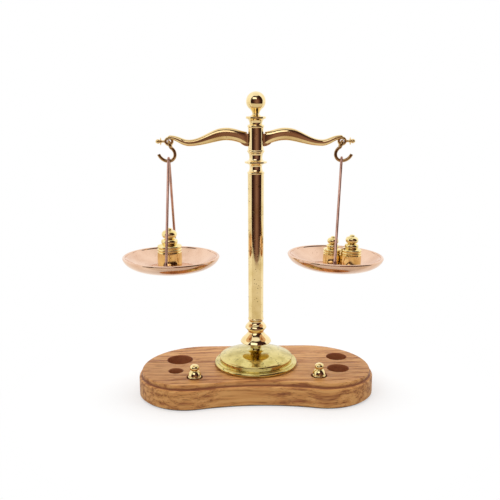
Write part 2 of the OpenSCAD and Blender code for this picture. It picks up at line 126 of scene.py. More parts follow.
def eased(line: np.ndarray, ease: float, steps: int = 4) -> np.ndarray:
    """Rounds the corners of an open outline, as a file or a buff does.

    Each corner that turns by more than 14 degrees becomes the quadratic curve
    (1-t)^2 A + 2t(1-t) P + t^2 B between points A and B at the ease on either side of it.

    Args:
        line: N by 2 array of points.
        ease: Length cut from each side of a corner, at most 0.4 of that side.
        steps: Points on each rounded corner.

    Returns:
        The rounded outline.
    """
    before = np.roll(line, 1, axis=0) - line
    after = np.roll(line, -1, axis=0) - line
    len_before = np.maximum(np.linalg.norm(before, axis=1, keepdims=True), 1e-9)
    len_after = np.maximum(np.linalg.norm(after, axis=1, keepdims=True), 1e-9)
    straight = np.sum(before / len_before * after / len_after, axis=1)
    corner = straight > -math.cos(math.radians(14))
    corner[[0, -1]] = False
    a = line + before / len_before * np.minimum(ease, 0.4 * len_before)
    b = line + after / len_after * np.minimum(ease, 0.4 * len_after)
    t = np.linspace(0, 1, steps)[None, :, None]
    curve = (1 - t) ** 2 * a[:, None] + 2 * t * (1 - t) * line[:, None] + t**2 * b[:, None]
    curve[~corner, 0] = line[~corner]
    keep = corner[:, None] | (np.arange(steps) == 0)[None, :]
    return curve[keep]


def grid_mesh(name: str, grid: np.ndarray, loop: bool = False) -> bpy.types.Object:
    """Makes a closed shell from a grid of points; finish_mesh turns its faces outwards.

    Point (i, j) of the grid is the surface at the parameters u_i and v_j, and each cell of
    the grid is one face.  The V direction closes on itself.

    Args:
        name: Name of the piece.
        grid: U by V by 3 array in millimetres.
        loop: Whether the U direction closes on itself; otherwise its two ends are capped.

    Returns:
        The new object, at the origin.
    """
    rows, cols = grid.shape[:2]
    i = np.arange(rows if loop else rows - 1)[:, None]
    j = np.arange(cols)[None, :]
    far_i, far_j = (i + 1) % rows, (j + 1) % cols
    cells = [i * cols + j, far_i * cols + j, far_i * cols + far_j, i * cols + far_j]
    faces = np.stack(cells, axis=-1).reshape(-1, 4).tolist()
    if not loop:
        last = (rows - 1) * cols
        faces += [list(range(cols)), list(range(last, last + cols))[::-1]]
    mesh = bpy.data.meshes.new(name)
    mesh.from_pydata(grid.reshape(-1, 3) * MM, [], faces)
    mesh.validate()
    piece = bpy.data.objects.new(name, mesh)
    bpy.context.scene.collection.objects.link(piece)
    return piece


def finish_mesh(piece: bpy.types.Object, angle: float = SMOOTH_ANGLE) -> bpy.types.Object:
    """Closes poles and seams, turns the faces outwards and shades the piece smooth.

    Args:
        piece: A mesh object.
        angle: Edges that turn by more than this stay sharp.

    Returns:
        The same object.
    """
    work = bmesh.new()
    work.from_mesh(piece.data)
    bmesh.ops.remove_doubles(work, verts=work.verts, dist=2e-7)
    bmesh.ops.dissolve_degenerate(work, dist=1e-7, edges=work.edges)
    bmesh.ops.recalc_face_normals(work, faces=work.faces)
    work.to_mesh(piece.data)
    work.free()
    piece.data.shade_smooth()
    piece.data.set_sharp_from_angle(angle=angle)
    return piece


def lathe(name: str, line: np.ndarray, at: tuple[float, float, float], around: int) -> bpy.types.Object:
    """Turns an outline round an upright axis: (x, y, z) = at + (r cos a, r sin a, h).

    Args:
        name: Name of the piece.
        line: N by 2 array of radius and height; a closed wall repeats its first point.
        at: Foot of the axis.
        around: Points in each circle.

    Returns:
        The new piece.
    """
    a = np.linspace(0, 2 * math.pi, around, endpoint=False)[None, :]
    r, h = line[:, :1], line[:, 1:2]
    grid = np.stack([r * np.cos(a), r * np.sin(a), h + 0 * a], axis=-1) + np.array(at)
    walled = bool(np.allclose(line[0], line[-1]))
    return finish_mesh(grid_mesh(name, grid[:-1] if walled else grid, loop=walled))


def tube(
    name: str,
    path: np.ndarray,
    wide: np.ndarray,
    thick: np.ndarray,
    across: np.ndarray,
    closed: bool = False,
    around: int = 28,
) -> bpy.types.Object:
    """Carries an oval section along a path.

    A point of the surface is path + wide cos(a) across + thick sin(a) (tangent x across).

    Args:
        name: Name of the piece.
        path: N by 3 array, the middle line.
        wide: Half width of the section at each point.
        thick: Half thickness of the section at each point.
        across: Unit vector along the width, square to the whole path.
        closed: Whether the path is a closed loop.
        around: Points in each section.

    Returns:
        The new piece.
    """
    if closed:
        tangent = np.roll(path, -1, axis=0) - np.roll(path, 1, axis=0)
    else:
        tangent = np.gradient(path, axis=0)
    tangent /= np.linalg.norm(tangent, axis=1, keepdims=True)
    up = np.cross(tangent, across)
    up /= np.linalg.norm(up, axis=1, keepdims=True)
    a = np.linspace(0, 2 * math.pi, around, endpoint=False)
    grid = (
        path[:, None, :]
        + (wide[:, None] * np.cos(a))[..., None] * across
        + (thick[:, None] * np.sin(a))[..., None] * up[:, None, :]
    )
    return finish_mesh(grid_mesh(name, grid, loop=closed))


def arc(centre: tuple[float, float], radius: float, start: float, end: float, steps: int) -> np.ndarray:
    """Points of a flat arc from angle start to angle end, in degrees, both ends included."""
    t = np.radians(np.linspace(start, end, steps))
    return np.stack([centre[0] + radius * np.cos(t), centre[1] + radius * np.sin(t)], axis=1)


def combined(piece: bpy.types.Object, other: bpy.types.Object, tool: Tool) -> bpy.types.Object:
    """Joins or cuts one solid with another and keeps the result in the first.

    Args:
        piece: The solid that is kept.
        other: The solid that is used up.
        tool: Whether the other joins the piece or cuts it.

    Returns:
        The first object.
    """
    step = piece.modifiers.new(other.name, "BOOLEAN")
    step.operation = tool.value
    step.object = other
    step.solver = "EXACT"
    step.material_mode = "TRANSFER"
    bpy.context.view_layer.update()
    graph = bpy.context.evaluated_depsgraph_get()
    mesh = bpy.data.meshes.new_from_object(piece.evaluated_get(graph), depsgraph=graph)
    piece.modifiers.clear()
    old = piece.data
    piece.data = mesh
    bpy.data.meshes.remove(old)
    bpy.data.objects.remove(other)
    return piece


def joined(name: str, parts: list[bpy.types.Object]) -> bpy.types.Object:
    """Welds overlapping solids into one closed piece.

    Args:
        name: Name of the result.
        parts: Solids; each overlaps one before it.

    Returns:
        The first part, renamed.
    """
    whole = parts[0]
    for part in parts[1:]:
        combined(whole, part, Tool.JOINS)
    whole.name = name
    whole.data.name = name
    return finish_mesh(whole)


def block(name: str, low: tuple[float, float, float], high: tuple[float, float, float]) -> bpy.types.Object:
    """Makes a plain block.

    Args:
        name: Name of the block.
        low: Its lowest corner.
        high: Its highest corner.

    Returns:
        The new object.
    """
    x, y = (low[0], high[0]), (low[1], high[1])
    ring = np.array([[x[0], y[0]], [x[1], y[0]], [x[1], y[1]], [x[0], y[1]]])
    grid = np.stack([np.column_stack([ring, np.full(4, z)]) for z in (low[2], high[2])])
    return finish_mesh(grid_mesh(name, grid))


def rod_line(radius: float, low: float, high: float) -> np.ndarray:
    """Outline of a plain upright rod between two heights."""
    return np.array([[0, low], [radius, low], [radius, high], [0, high]])


def bore(radius: float, low: float, high: float, around: int = 48) -> bpy.types.Object:
    """A plain upright cutting rod on the Z axis, used up by the cut that it makes."""
    return lathe("bore", rod_line(radius, low, high), (0, 0, 0), around)


def laid_over(piece: bpy.types.Object, lay: Lay) -> bpy.types.Object:
    """Lays an upright turned piece over in its mesh and returns the piece."""
    piece.data.transform(Matrix(lay.value).to_4x4())
    return piece


def moved(piece: bpy.types.Object, by: tuple[float, float, float]) -> bpy.types.Object:
    """Shifts a piece's mesh by a step in millimetres and returns the piece."""
    piece.data.transform(Matrix.Translation([c * MM for c in by]))
    return piece


# ---------------------------------------------------------------- materials


def linear(code: str) -> tuple[float, float, float, float]:
    """Turns an sRGB hex colour such as #D9B96A into linear red, green, blue and alpha."""
    srgb = np.array([int(code[i : i + 2], 16) / 255 for i in (1, 3, 5)])
    rgb = np.where(srgb <= 0.04045, srgb / 12.92, ((srgb + 0.055) / 1.055) ** 2.4)
    return (*rgb.tolist(), 1.0)


def add(tree: bpy.types.NodeTree, kind: str, links: Optional[dict[Any, Any]] = None, **settings: Any) -> Any:
    """Adds a node with its settings, and sets or links its inputs.

    Args:
        tree: The node tree.
        kind: The node's class name after ShaderNode.
        links: For each input's name or number, a socket to link or a value to set.
        settings: The node's properties; "stops" are a ramp's (place, colour) pairs.

    Returns:
        The new node.
    """
    node = tree.nodes.new("ShaderNode" + kind)
    stops = settings.pop("stops", None)
    for key, value in settings.items():
        setattr(node, key, value)
    if stops:
        ramp = node.color_ramp
        for place, colour in stops[2:]:
            ramp.elements.new(place)
        for element, (place, colour) in zip(sorted(ramp.elements, key=lambda e: e.position), sorted(stops)):
            element.position = place
            element.color = colour
    for key, value in (links or {}).items():
        if isinstance(value, bpy.types.NodeSocket):
            tree.links.new(value, node.inputs[key])
        else:
            node.inputs[key].default_value = value
    return node


def grey(level: float) -> tuple[float, float, float, float]:
    """A linear grey of that level, for a ramp that carries a factor."""
    return (level, level, level, 1.0)


def per_metre(size_mm: float) -> float:
    """Texture scale at which one cell of the pattern is size_mm across."""
    return 1 / (size_mm * MM)


def new_tree(name: str) -> tuple[bpy.types.Material, bpy.types.NodeTree, Any]:
    """Starts a material.

    Args:
        name: The material's name.

    Returns:
        The material, its node tree and its output node.
    """
    material = bpy.data.materials.new(name)
    material.use_nodes = True
    tree = material.node_tree
    tree.nodes.clear()
    return material, tree, add(tree, "OutputMaterial")


@dataclass(frozen=True)
class Axis:
    """Axis that a piece was turned about: its foot in millimetres, and its lean about Y in
    degrees from upright."""

    foot: tuple[float, float, float] = (0.0, 0.0, 0.0)
    lean: float = 0.0


@dataclass(frozen=True)
class PolishedMetal:
    """A bright metal, buffed and then handled and aired for years.

    The eye sees a clear reflection that softly breaks up: low waves left by buffing, fine
    lines left by the lathe, dull patches where the lacquer has aged, and small dark specks.
    """

    name: str
    bright: str
    dull: str
    speck: str
    polish: float = 0.13
    dulled: float = 0.28
    patch_mm: float = 14.0
    speck_mm: float = 1.1
    speck_limit: float = 0.70
    wave_mm: float = 5.0
    wave_rise: float = 0.02
    line_mm: float = 0.5
    line_rise: float = 0.0012
    pit_mm: float = 0.02

    def material(self, axis: Optional[Axis] = None) -> bpy.types.Material:
        """Builds the finish.

        Args:
            axis: The axis that the piece was turned about; the lathe's lines run round it.
                Without one there are no such lines.

        Returns:
            The material.
        """
        material, tree, out = new_tree(self.name)
        place = add(tree, "TexCoord").outputs["Object"]
        if axis is not None:
            at = tuple(c * MM for c in axis.foot)
            links = {"Vector": place, "Location": at, "Rotation": (0.0, math.radians(axis.lean), 0.0)}
            place = add(tree, "Mapping", links, vector_type="TEXTURE").outputs[0]
        # Each pattern's size in millimetres and its detail.
        grains = {
            "patch": (self.patch_mm, 4.0),
            "cloud": (0.6 * self.patch_mm, 2.0),
            "speck": (self.speck_mm, 1.0),
            "wave": (self.wave_mm, 2.0),
        }
        noise = {}
        for key, (size, detail) in grains.items():
            links = {"Vector": place, "Scale": per_metre(size), "Detail": detail}
            noise[key] = add(tree, "TexNoise", links).outputs[0]
        stops = [(0.42, grey(0)), (0.68, grey(1))]
        patch = add(tree, "ValToRGB", {0: noise["patch"]}, stops=stops).outputs[0]
        cloud = add(tree, "MapRange", {0: noise["cloud"], 1: 0.4, 2: 0.65, 3: -0.10, 4: 0.05}).outputs[0]
        speck = add(tree, "Math", {0: noise["speck"], 1: cloud}, operation="ADD").outputs[0]
        stops = [(self.speck_limit, grey(0)), (self.speck_limit + 0.05, grey(1))]
        speck = add(tree, "ValToRGB", {0: speck}, stops=stops).outputs[0]
        colour = add(tree, "MixRGB", {0: patch, 1: linear(self.bright), 2: linear(self.dull)}).outputs[0]
        colour = add(tree, "MixRGB", {0: speck, 1: colour, 2: linear(self.speck)}).outputs[0]
        rough = add(tree, "MapRange", {0: patch, 3: self.polish, 4: self.dulled}).outputs[0]
        rough = add(tree, "Math", {0: speck, 1: 0.25, 2: rough}, operation="MULTIPLY_ADD").outputs[0]
        links = {"Height": noise["wave"], "Strength": 1.0, "Distance": self.wave_rise * MM}
        normal = add(tree, "Bump", links).outputs[0]
        if axis is not None:
            parts = add(tree, "SeparateXYZ", {0: place}).outputs
            flat = add(tree, "CombineXYZ", {0: parts[0], 1: parts[1]}).outputs[0]
            radius = add(tree, "VectorMath", {0: flat}, operation="LENGTH").outputs["Value"]
            ring = add(tree, "CombineXYZ", {0: radius, 2: parts[2]}).outputs[0]
            links = {"Vector": ring, "Scale": per_metre(self.line_mm), "Detail": 2.0}
            lines = add(tree, "TexNoise", links).outputs[0]
            links = {"Height": lines, "Strength": 1.0, "Distance": self.line_rise * MM, "Normal": normal}
            normal = add(tree, "Bump", links).outputs[0]
        links = {"Height": speck, "Strength": 0.6, "Distance": self.pit_mm * MM, "Normal": normal}
        normal = add(tree, "Bump", links, invert=True).outputs[0]
        links = {"Base Color": colour, "Metallic": 1.0, "Roughness": rough, "Normal": normal}
        shader = add(tree, "BsdfPrincipled", links)
        tree.links.new(shader.outputs[0], out.inputs["Surface"])
        return material


@dataclass(frozen=True)
class OiledOak:
    """Flat-sawn oak, sanded, stained warm and given a satin coat.

    The eye sees growth bands along the board, short dark pores drawn out along the grain,
    paler flecks between them, and a darker line painted into the cove as shade.
    """

    name: str = "oak_satin"
    pale: str = "#D29A5A"
    mid: str = "#C08346"
    dark: str = "#9C5E30"
    pore: str = "#6C3E20"
    # Colour of the shade painted into the cove.
    cove_shade: str = "#7A4223"
    # Colour of the shade painted on the walls of the drilled holes.
    bored: str = "#8E4E32"
    band_mm: float = 3.0
    pore_mm: float = 0.55
    fleck_mm: float = 2.2
    drift_mm: float = 60.0
    pore_rise: float = 0.12
    rough: float = 0.46

    def material(self, bored: bool = False) -> bpy.types.Material:
        """Builds the finish.

        Args:
            bored: Whether it is the wall of a drilled hole, painted darker as shade.

        Returns:
            The material.
        """
        material, tree, out = new_tree(self.name + ("_bored" if bored else ""))
        place = add(tree, "TexCoord").outputs["Object"]
        links = {"Vector": place, "Scale": per_metre(self.drift_mm), "Detail": 2.0}
        drift = add(tree, "TexNoise", links).outputs["Color"]
        drift = add(tree, "VectorMath", {0: drift, 1: (0.5, 0.5, 0.5)}, operation="SUBTRACT").outputs[0]
        drift = add(tree, "VectorMath", {0: drift, 1: (0.0, 0.012, 0.012)}, operation="MULTIPLY").outputs[0]
        bent = add(tree, "VectorMath", {0: place, 1: drift}, operation="ADD").outputs[0]
        # Each pattern's share of its width to its length along the grain, its turn in radians,
        # its width in millimetres, its detail and its roughness.
        grains = {
            "bands": (0.05, 0.02, self.band_mm, 3.0, 0.55),
            "pores": (0.045, 0.0, self.pore_mm, 1.0, 0.5),
            "fleck": (0.2, 0.0, self.fleck_mm, 1.0, 0.5),
        }
        noise = {}
        for key, (share, turn, size, detail, rough) in grains.items():
            links = {"Vector": bent, "Scale": (share, 1.0, 1.0), "Rotation": (0.0, 0.0, turn)}
            drawn = add(tree, "Mapping", links).outputs[0]
            links = {"Vector": drawn, "Scale": per_metre(size), "Detail": detail, "Roughness": rough}
            noise[key] = add(tree, "TexNoise", links).outputs[0]
        bands = noise["bands"]
        stops = [(0.33, linear(self.dark)), (0.47, linear(self.mid)), (0.62, linear(self.pale))]
        colour = add(tree, "ValToRGB", {0: bands}, stops=stops).outputs[0]
        gate = add(tree, "MapRange", {0: bands, 1: 0.35, 2: 0.6, 3: 0.10, 4: -0.06}).outputs[0]
        pores = add(tree, "Math", {0: noise["pores"], 1: gate}, operation="ADD").outputs[0]
        pores = add(tree, "ValToRGB", {0: pores}, stops=[(0.57, grey(0)), (0.68, grey(1))]).outputs[0]
        depth = add(tree, "Math", {0: pores, 1: 0.6}, operation="MULTIPLY").outputs[0]
        colour = add(tree, "MixRGB", {0: depth, 1: colour, 2: linear(self.pore)}).outputs[0]
        fleck = add(tree, "MapRange", {0: noise["fleck"], 1: 0.56, 2: 0.75, 3: 0.0, 4: 0.35}).outputs[0]
        colour = add(tree, "MixRGB", {0: fleck, 1: colour, 2: linear(self.pale)}).outputs[0]
        # Painted shade: the cove is darkened by the mask that the board carries.
        cove_shade = add(tree, "Attribute", attribute_name="cove_shade").outputs["Fac"]
        colour = add(tree, "MixRGB", {0: cove_shade, 1: colour, 2: linear(self.cove_shade)}).outputs[0]
        # Painted shade: the walls of the drilled holes are darkened.
        if bored:
            colour = add(tree, "MixRGB", {0: 0.85, 1: colour, 2: linear(self.bored)}).outputs[0]
        rough = add(tree, "MapRange", {0: pores, 3: self.rough, 4: self.rough + 0.25}).outputs[0]
        fine = add(tree, "Math", {0: bands, 1: pores}, operation="SUBTRACT").outputs[0]
        links = {"Height": fine, "Strength": 0.5, "Distance": self.pore_rise * MM}
        normal = add(tree, "Bump", links).outputs[0]
        links = {"Base Color": colour, "Roughness": rough, "Normal": normal, "Specular IOR Level": 0.4}
        shader = add(tree, "BsdfPrincipled", links)
        tree.links.new(shader.outputs[0], out.inputs["Surface"])
        return material


@dataclass(frozen=True)
class WoolFelt:
    """Pressed wool felt: short matted fibres that scatter light and fuzz the edge."""

    name: str = "wool_felt"
    base: str = "#2F3B33"
    pale: str = "#46554A"
    fibre_mm: float = 0.6
    fibre_rise: float = 0.2

    def material(self) -> bpy.types.Material:
        """Builds the finish and returns it."""
        material, tree, out = new_tree(self.name)
        place = add(tree, "TexCoord").outputs["Object"]
        links = {"Vector": place, "Scale": per_metre(self.fibre_mm), "Detail": 3.0}
        fibre = add(tree, "TexNoise", links).outputs[0]
        colour = add(tree, "MixRGB", {0: fibre, 1: linear(self.base), 2: linear(self.pale)}).outputs[0]
        links = {"Height": fibre, "Strength": 0.8, "Distance": self.fibre_rise * MM}
        normal = add(tree, "Bump", links).outputs[0]
        links = {"Base Color": colour, "Roughness": 0.95, "Sheen Weight": 0.3, "Normal": normal}
        shader = add(tree, "BsdfPrincipled", links)
        tree.links.new(shader.outputs[0], out.inputs["Surface"])
        return material


# Turned brass, buffed and lacquered: a clear warm mirror.
BRASS = PolishedMetal(
    "brass_lacquered", bright="#F8E2AE", dull="#E9CF92", speck="#6E5324", polish=0.05, dulled=0.12,
)
# The foot, whose lacquer has aged: greener and duller, with many small pits.
FOOT_BRASS = PolishedMetal(
    "brass_foot_aged", bright="#DCCA82", dull="#BCA960", speck="#5E5626",
    polish=0.08, dulled=0.18, patch_mm=10, speck_limit=0.62, speck_mm=0.9, wave_rise=0.008,
)
# Drawn brass tube: a clear mirror with low waves, and small dark pits along it.
SHAFT_BRASS = PolishedMetal(
    "brass_tube_pitted", bright="#F6DFAA", dull="#E4CA8C", speck="#54401C",
    polish=0.06, dulled=0.14, patch_mm=12, speck_limit=0.655, speck_mm=1.3, wave_mm=9, wave_rise=0.02,
)
# Cast brass, filed and buffed: a slightly softer mirror in long bands.
BEAM_BRASS = PolishedMetal(
    "brass_cast_beam", bright="#F4DAA2", dull="#DEBD82", speck="#6A4C28",
    polish=0.09, dulled=0.16, patch_mm=14, speck_limit=0.76, wave_mm=8, wave_rise=0.008,
)
# Bent brass wire without lacquer: toned brown, with a duller shine.
HOOK_BRASS = PolishedMetal(
    "brass_wire_toned", bright="#C6A06C", dull="#96744A", speck="#4A3520",
    polish=0.1, dulled=0.18, patch_mm=6, speck_mm=0.8, speck_limit=0.76, wave_rise=0.008,
)
# Spun copper under a thin clear coat: pale rose, with long low waves.
COPPER = PolishedMetal(
    "copper_spun", bright="#EBC8AE", dull="#DCB498", speck="#8C5640",
    polish=0.09, dulled=0.16, patch_mm=18, speck_limit=0.74, speck_mm=0.9, wave_mm=9, wave_rise=0.012,
)
# Copper-plated wire: a browner rose than the pans.
BAIL_COPPER = PolishedMetal(
    "copper_wire_plated", bright="#CCA292", dull="#A67E6E", speck="#6A4236",
    polish=0.08, dulled=0.15, patch_mm=12, speck_mm=0.8, speck_limit=0.8, wave_mm=9, wave_rise=0.008,
)
# Small turned weights: bright yellow and nearly unmarked.
WEIGHT_BRASS = PolishedMetal(
    "brass_weight_turned", bright="#F6E2A6", dull="#E6CF88", speck="#6A4E1E",
    polish=0.05, dulled=0.11, patch_mm=6, wave_rise=0.006,
)
# Zinc-plated steel, hidden in the foot: grey and matt.
STEEL = PolishedMetal(
    "steel_zinc_plated", bright="#B9BCC0", dull="#93969B", speck="#5A5550",
    polish=0.3, dulled=0.5, patch_mm=4,
)


def dress(
    piece: bpy.types.Object, finish: bpy.types.Material, slot: str, body: str, *nodes: str
) -> bpy.types.Object:
    """Gives a piece its finish, ties it to its body and lets it stand for its CAD nodes.

    Args:
        piece: The finished mesh.
        finish: Its material; materials that a cut has left on some faces stay.
        slot: Not used.
        body: The moving body that the piece rides on.
        nodes: The CAD nodes that it stands for.

    Returns:
        The same object.
    """
    if not any(piece.data.materials):
        piece.data.materials.clear()
        piece.data.materials.append(finish)
    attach(piece, body)
    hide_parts(*nodes)
    log.info("%s: %d faces on %s", piece.name, len(piece.data.polygons), body)
    return piece


# ---------------------------------------------------------------- stand


@dataclass
class Plinth:
    """The moulded oak board with its holes, the felt under it and the hidden fixings."""

    felt: float = 1.0
    thick: float = 19.0
    corner: tuple[float, float] = (41.0, -7.6)
    corner_r: float = 50.0
    lobe_r: float = 36.0
    handover: float = -7.0
    waist: float = 38.0
    ledge: float = 2.35
    drop: float = 4.0
    ledge_round: float = 1.4
    cove: float = 0.9
    edge: float = 0.7
    side_foot: float = 1.5
    shoulder: tuple[float, float] = (1.6, 2.4)
    # Height above the ledge and reach of the shade painted into the cove.
    cove_shade_up: float = 0.4
    cove_shade_reach: float = 1.9
    chamfer: float = 0.35
    hole_round: float = 0.4
    # Radius and height of the tie rod's bore and of the pocket for its nut.
    rod_bore: tuple[float, float] = (2.15, 30.0)
    nut_pocket: tuple[float, float] = (8.0, 8.0)
    # X, Y, radius and depth of each hole.
    holes: tuple[tuple[float, float, float, float], ...] = (
        (-62.3, 10.2, 10.35, 9.0),
        (67.8, 13.2, 8.3, 9.0),
        (65.4, -13.1, 8.6, 9.0),
        (-64.0, -14.7, 5.75, 6.5),
        (-48.5, -27.8, 6.2, 6.5),
        (48.5, -27.8, 6.2, 6.5),
    )

    def outline(self, grow: np.ndarray) -> np.ndarray:
        """Outline of the board grown outward by each value of grow.

        Corner arc, lobe arc and hollow waist arc meet on common tangents, and the left half
        mirrors the right.

        Args:
            grow: M values in millimetres.

        Returns:
            M by N by 2 array.
        """
        turn = math.radians(self.handover)
        corner = np.array(self.corner)
        lobe = corner + (self.corner_r - self.lobe_r) * np.array([math.cos(turn), math.sin(turn)])
        waist_r = (lobe[0] ** 2 + (self.waist + lobe[1]) ** 2 - self.lobe_r**2) / (
            2 * (self.lobe_r - self.waist - lobe[1])
        )
        hollow = np.array([0.0, -self.waist - waist_r])
        half = math.degrees(math.atan2(lobe[0], lobe[1] - hollow[1]))
        parts = [
            (corner, self.corner_r, 1, 90, self.handover, 60),
            (lobe, self.lobe_r, 1, self.handover, -90 - half, 60),
            (hollow, waist_r, -1, 90 - half, 90, 30),
        ]
        rows = []
        for centre, radius, sign, start, end, steps in parts:
            a = np.radians(np.linspace(start, end, steps + 1)[:-1])[None, :]
            r = radius + sign * grow[:, None]
            rows.append(np.stack([centre[0] + r * np.cos(a), centre[1] + r * np.sin(a)], axis=-1))
        middle = np.stack([0 * grow, hollow[1] + waist_r - grow], axis=-1)[:, None, :]
        right = np.concatenate(rows + [middle], axis=1)
        left = right[:, -2:0:-1] * np.array([-1, 1])
        straight = np.linspace(right[:, 0] * np.array([-1, 1]), right[:, 0], 26)[:-1]
        return np.concatenate([right, left, np.moveaxis(straight, 0, 1)], axis=1)

    def section(self) -> tuple[np.ndarray, np.ndarray]:
        """Edge of the board from the bottom up.

        Returns:
            Growth and height of each point, and how much painted shade it gets in the cove.
        """
        ledge_z = self.thick - self.drop
        side = np.linspace(self.side_foot, ledge_z - self.shoulder[0], 8)
        line = np.concatenate([
            np.array([[self.ledge - self.edge, 0.0], [self.ledge, self.edge]]),
            np.column_stack([0 * side + self.ledge, side]),
            arc((self.ledge - self.ledge_round, ledge_z - self.ledge_round), self.ledge_round, 0, 90, 8),
            arc((self.cove, ledge_z + self.cove), self.cove, 270, 180, 8),
            np.array([[0.0, ledge_z + up] for up in self.shoulder]),
            arc((-self.edge, self.thick - self.edge), self.edge, 0, 90, 7),
        ])
        # Painted shade, strongest just above the ledge and in the cove's hollow.
        near = 1 - np.abs(line[:, 1] - ledge_z - self.cove_shade_up) / self.cove_shade_reach
        inward = (self.cove + 0.25 - line[:, 0]) / 0.7
        return line, np.clip(near, 0, 1) * np.clip(inward, 0, 1)

    def cutters(self) -> list[bpy.types.Object]:
        """Makes the solids that drill the holes, with their chamfered mouths, and the bore of
        the tie rod and the pocket of its nut.

        Returns:
            The solids, in the order of the cuts.
        """
        solids = []
        for x, y, radius, depth in self.holes:
            mouth = radius + self.chamfer
            line = np.array([
                [0, -depth], [radius - self.hole_round, -depth], [radius, self.hole_round - depth],
                [radius, -self.chamfer], [mouth, 0.0], [mouth, 1.0], [0, 1.0],
            ])
            solids.append(lathe("bore", line, (x, y, self.felt + self.thick), 96))
        solids.append(bore(self.rod_bore[0], -1, self.rod_bore[1]))
        solids.append(bore(self.nut_pocket[0], -1, self.nut_pocket[1], 64))
        return solids

    def board(self) -> bpy.types.Object:
        """Carries the edge section round the outline and drills the holes.

        Returns:
            The piece.
        """
        line, cove_shade = self.section()
        flat = self.outline(line[:, 0])
        height = np.broadcast_to(line[:, 1][:, None, None], flat.shape[:2] + (1,))
        grid = np.concatenate([flat, height + self.felt], axis=-1)
        board = finish_mesh(grid_mesh("plinth_oak", grid))
        # The painted cove shade is stored on the board's points.
        marks = board.data.attributes.new("cove_shade", "FLOAT", "POINT")
        marks.data.foreach_set("value", np.repeat(cove_shade, flat.shape[1]).astype(np.float32))
        board.data.materials.append(OiledOak().material())
        # The hole walls get the oak with painted shade.
        hole_shade_oak = OiledOak().material(bored=True)
        for cutter in self.cutters():
            cutter.data.materials.append(hole_shade_oak)
            combined(board, cutter, Tool.CUTS)
        return finish_mesh(board, math.radians(38))

    def build(self, nodes: dict[str, bpy.types.Object]) -> None:
        """Makes the board and dresses the felt, rod, washer, nut and pin of the CAD part.

        Args:
            nodes: The CAD node objects by name.
        """
        dress(self.board(), OiledOak().material(), "oak", "stand", "plinth")
        plain = {
            "base_felt": WoolFelt().material(),
            "tie_rod": STEEL.material(Axis()),
            "tie_washer": STEEL.material(Axis()),
            "tie_nut": STEEL.material(),
            "fulcrum_pin": BRASS.material(),
        }
        for name, material in plain.items():
            nodes[name].data.materials.clear()
            nodes[name].data.materials.append(material)


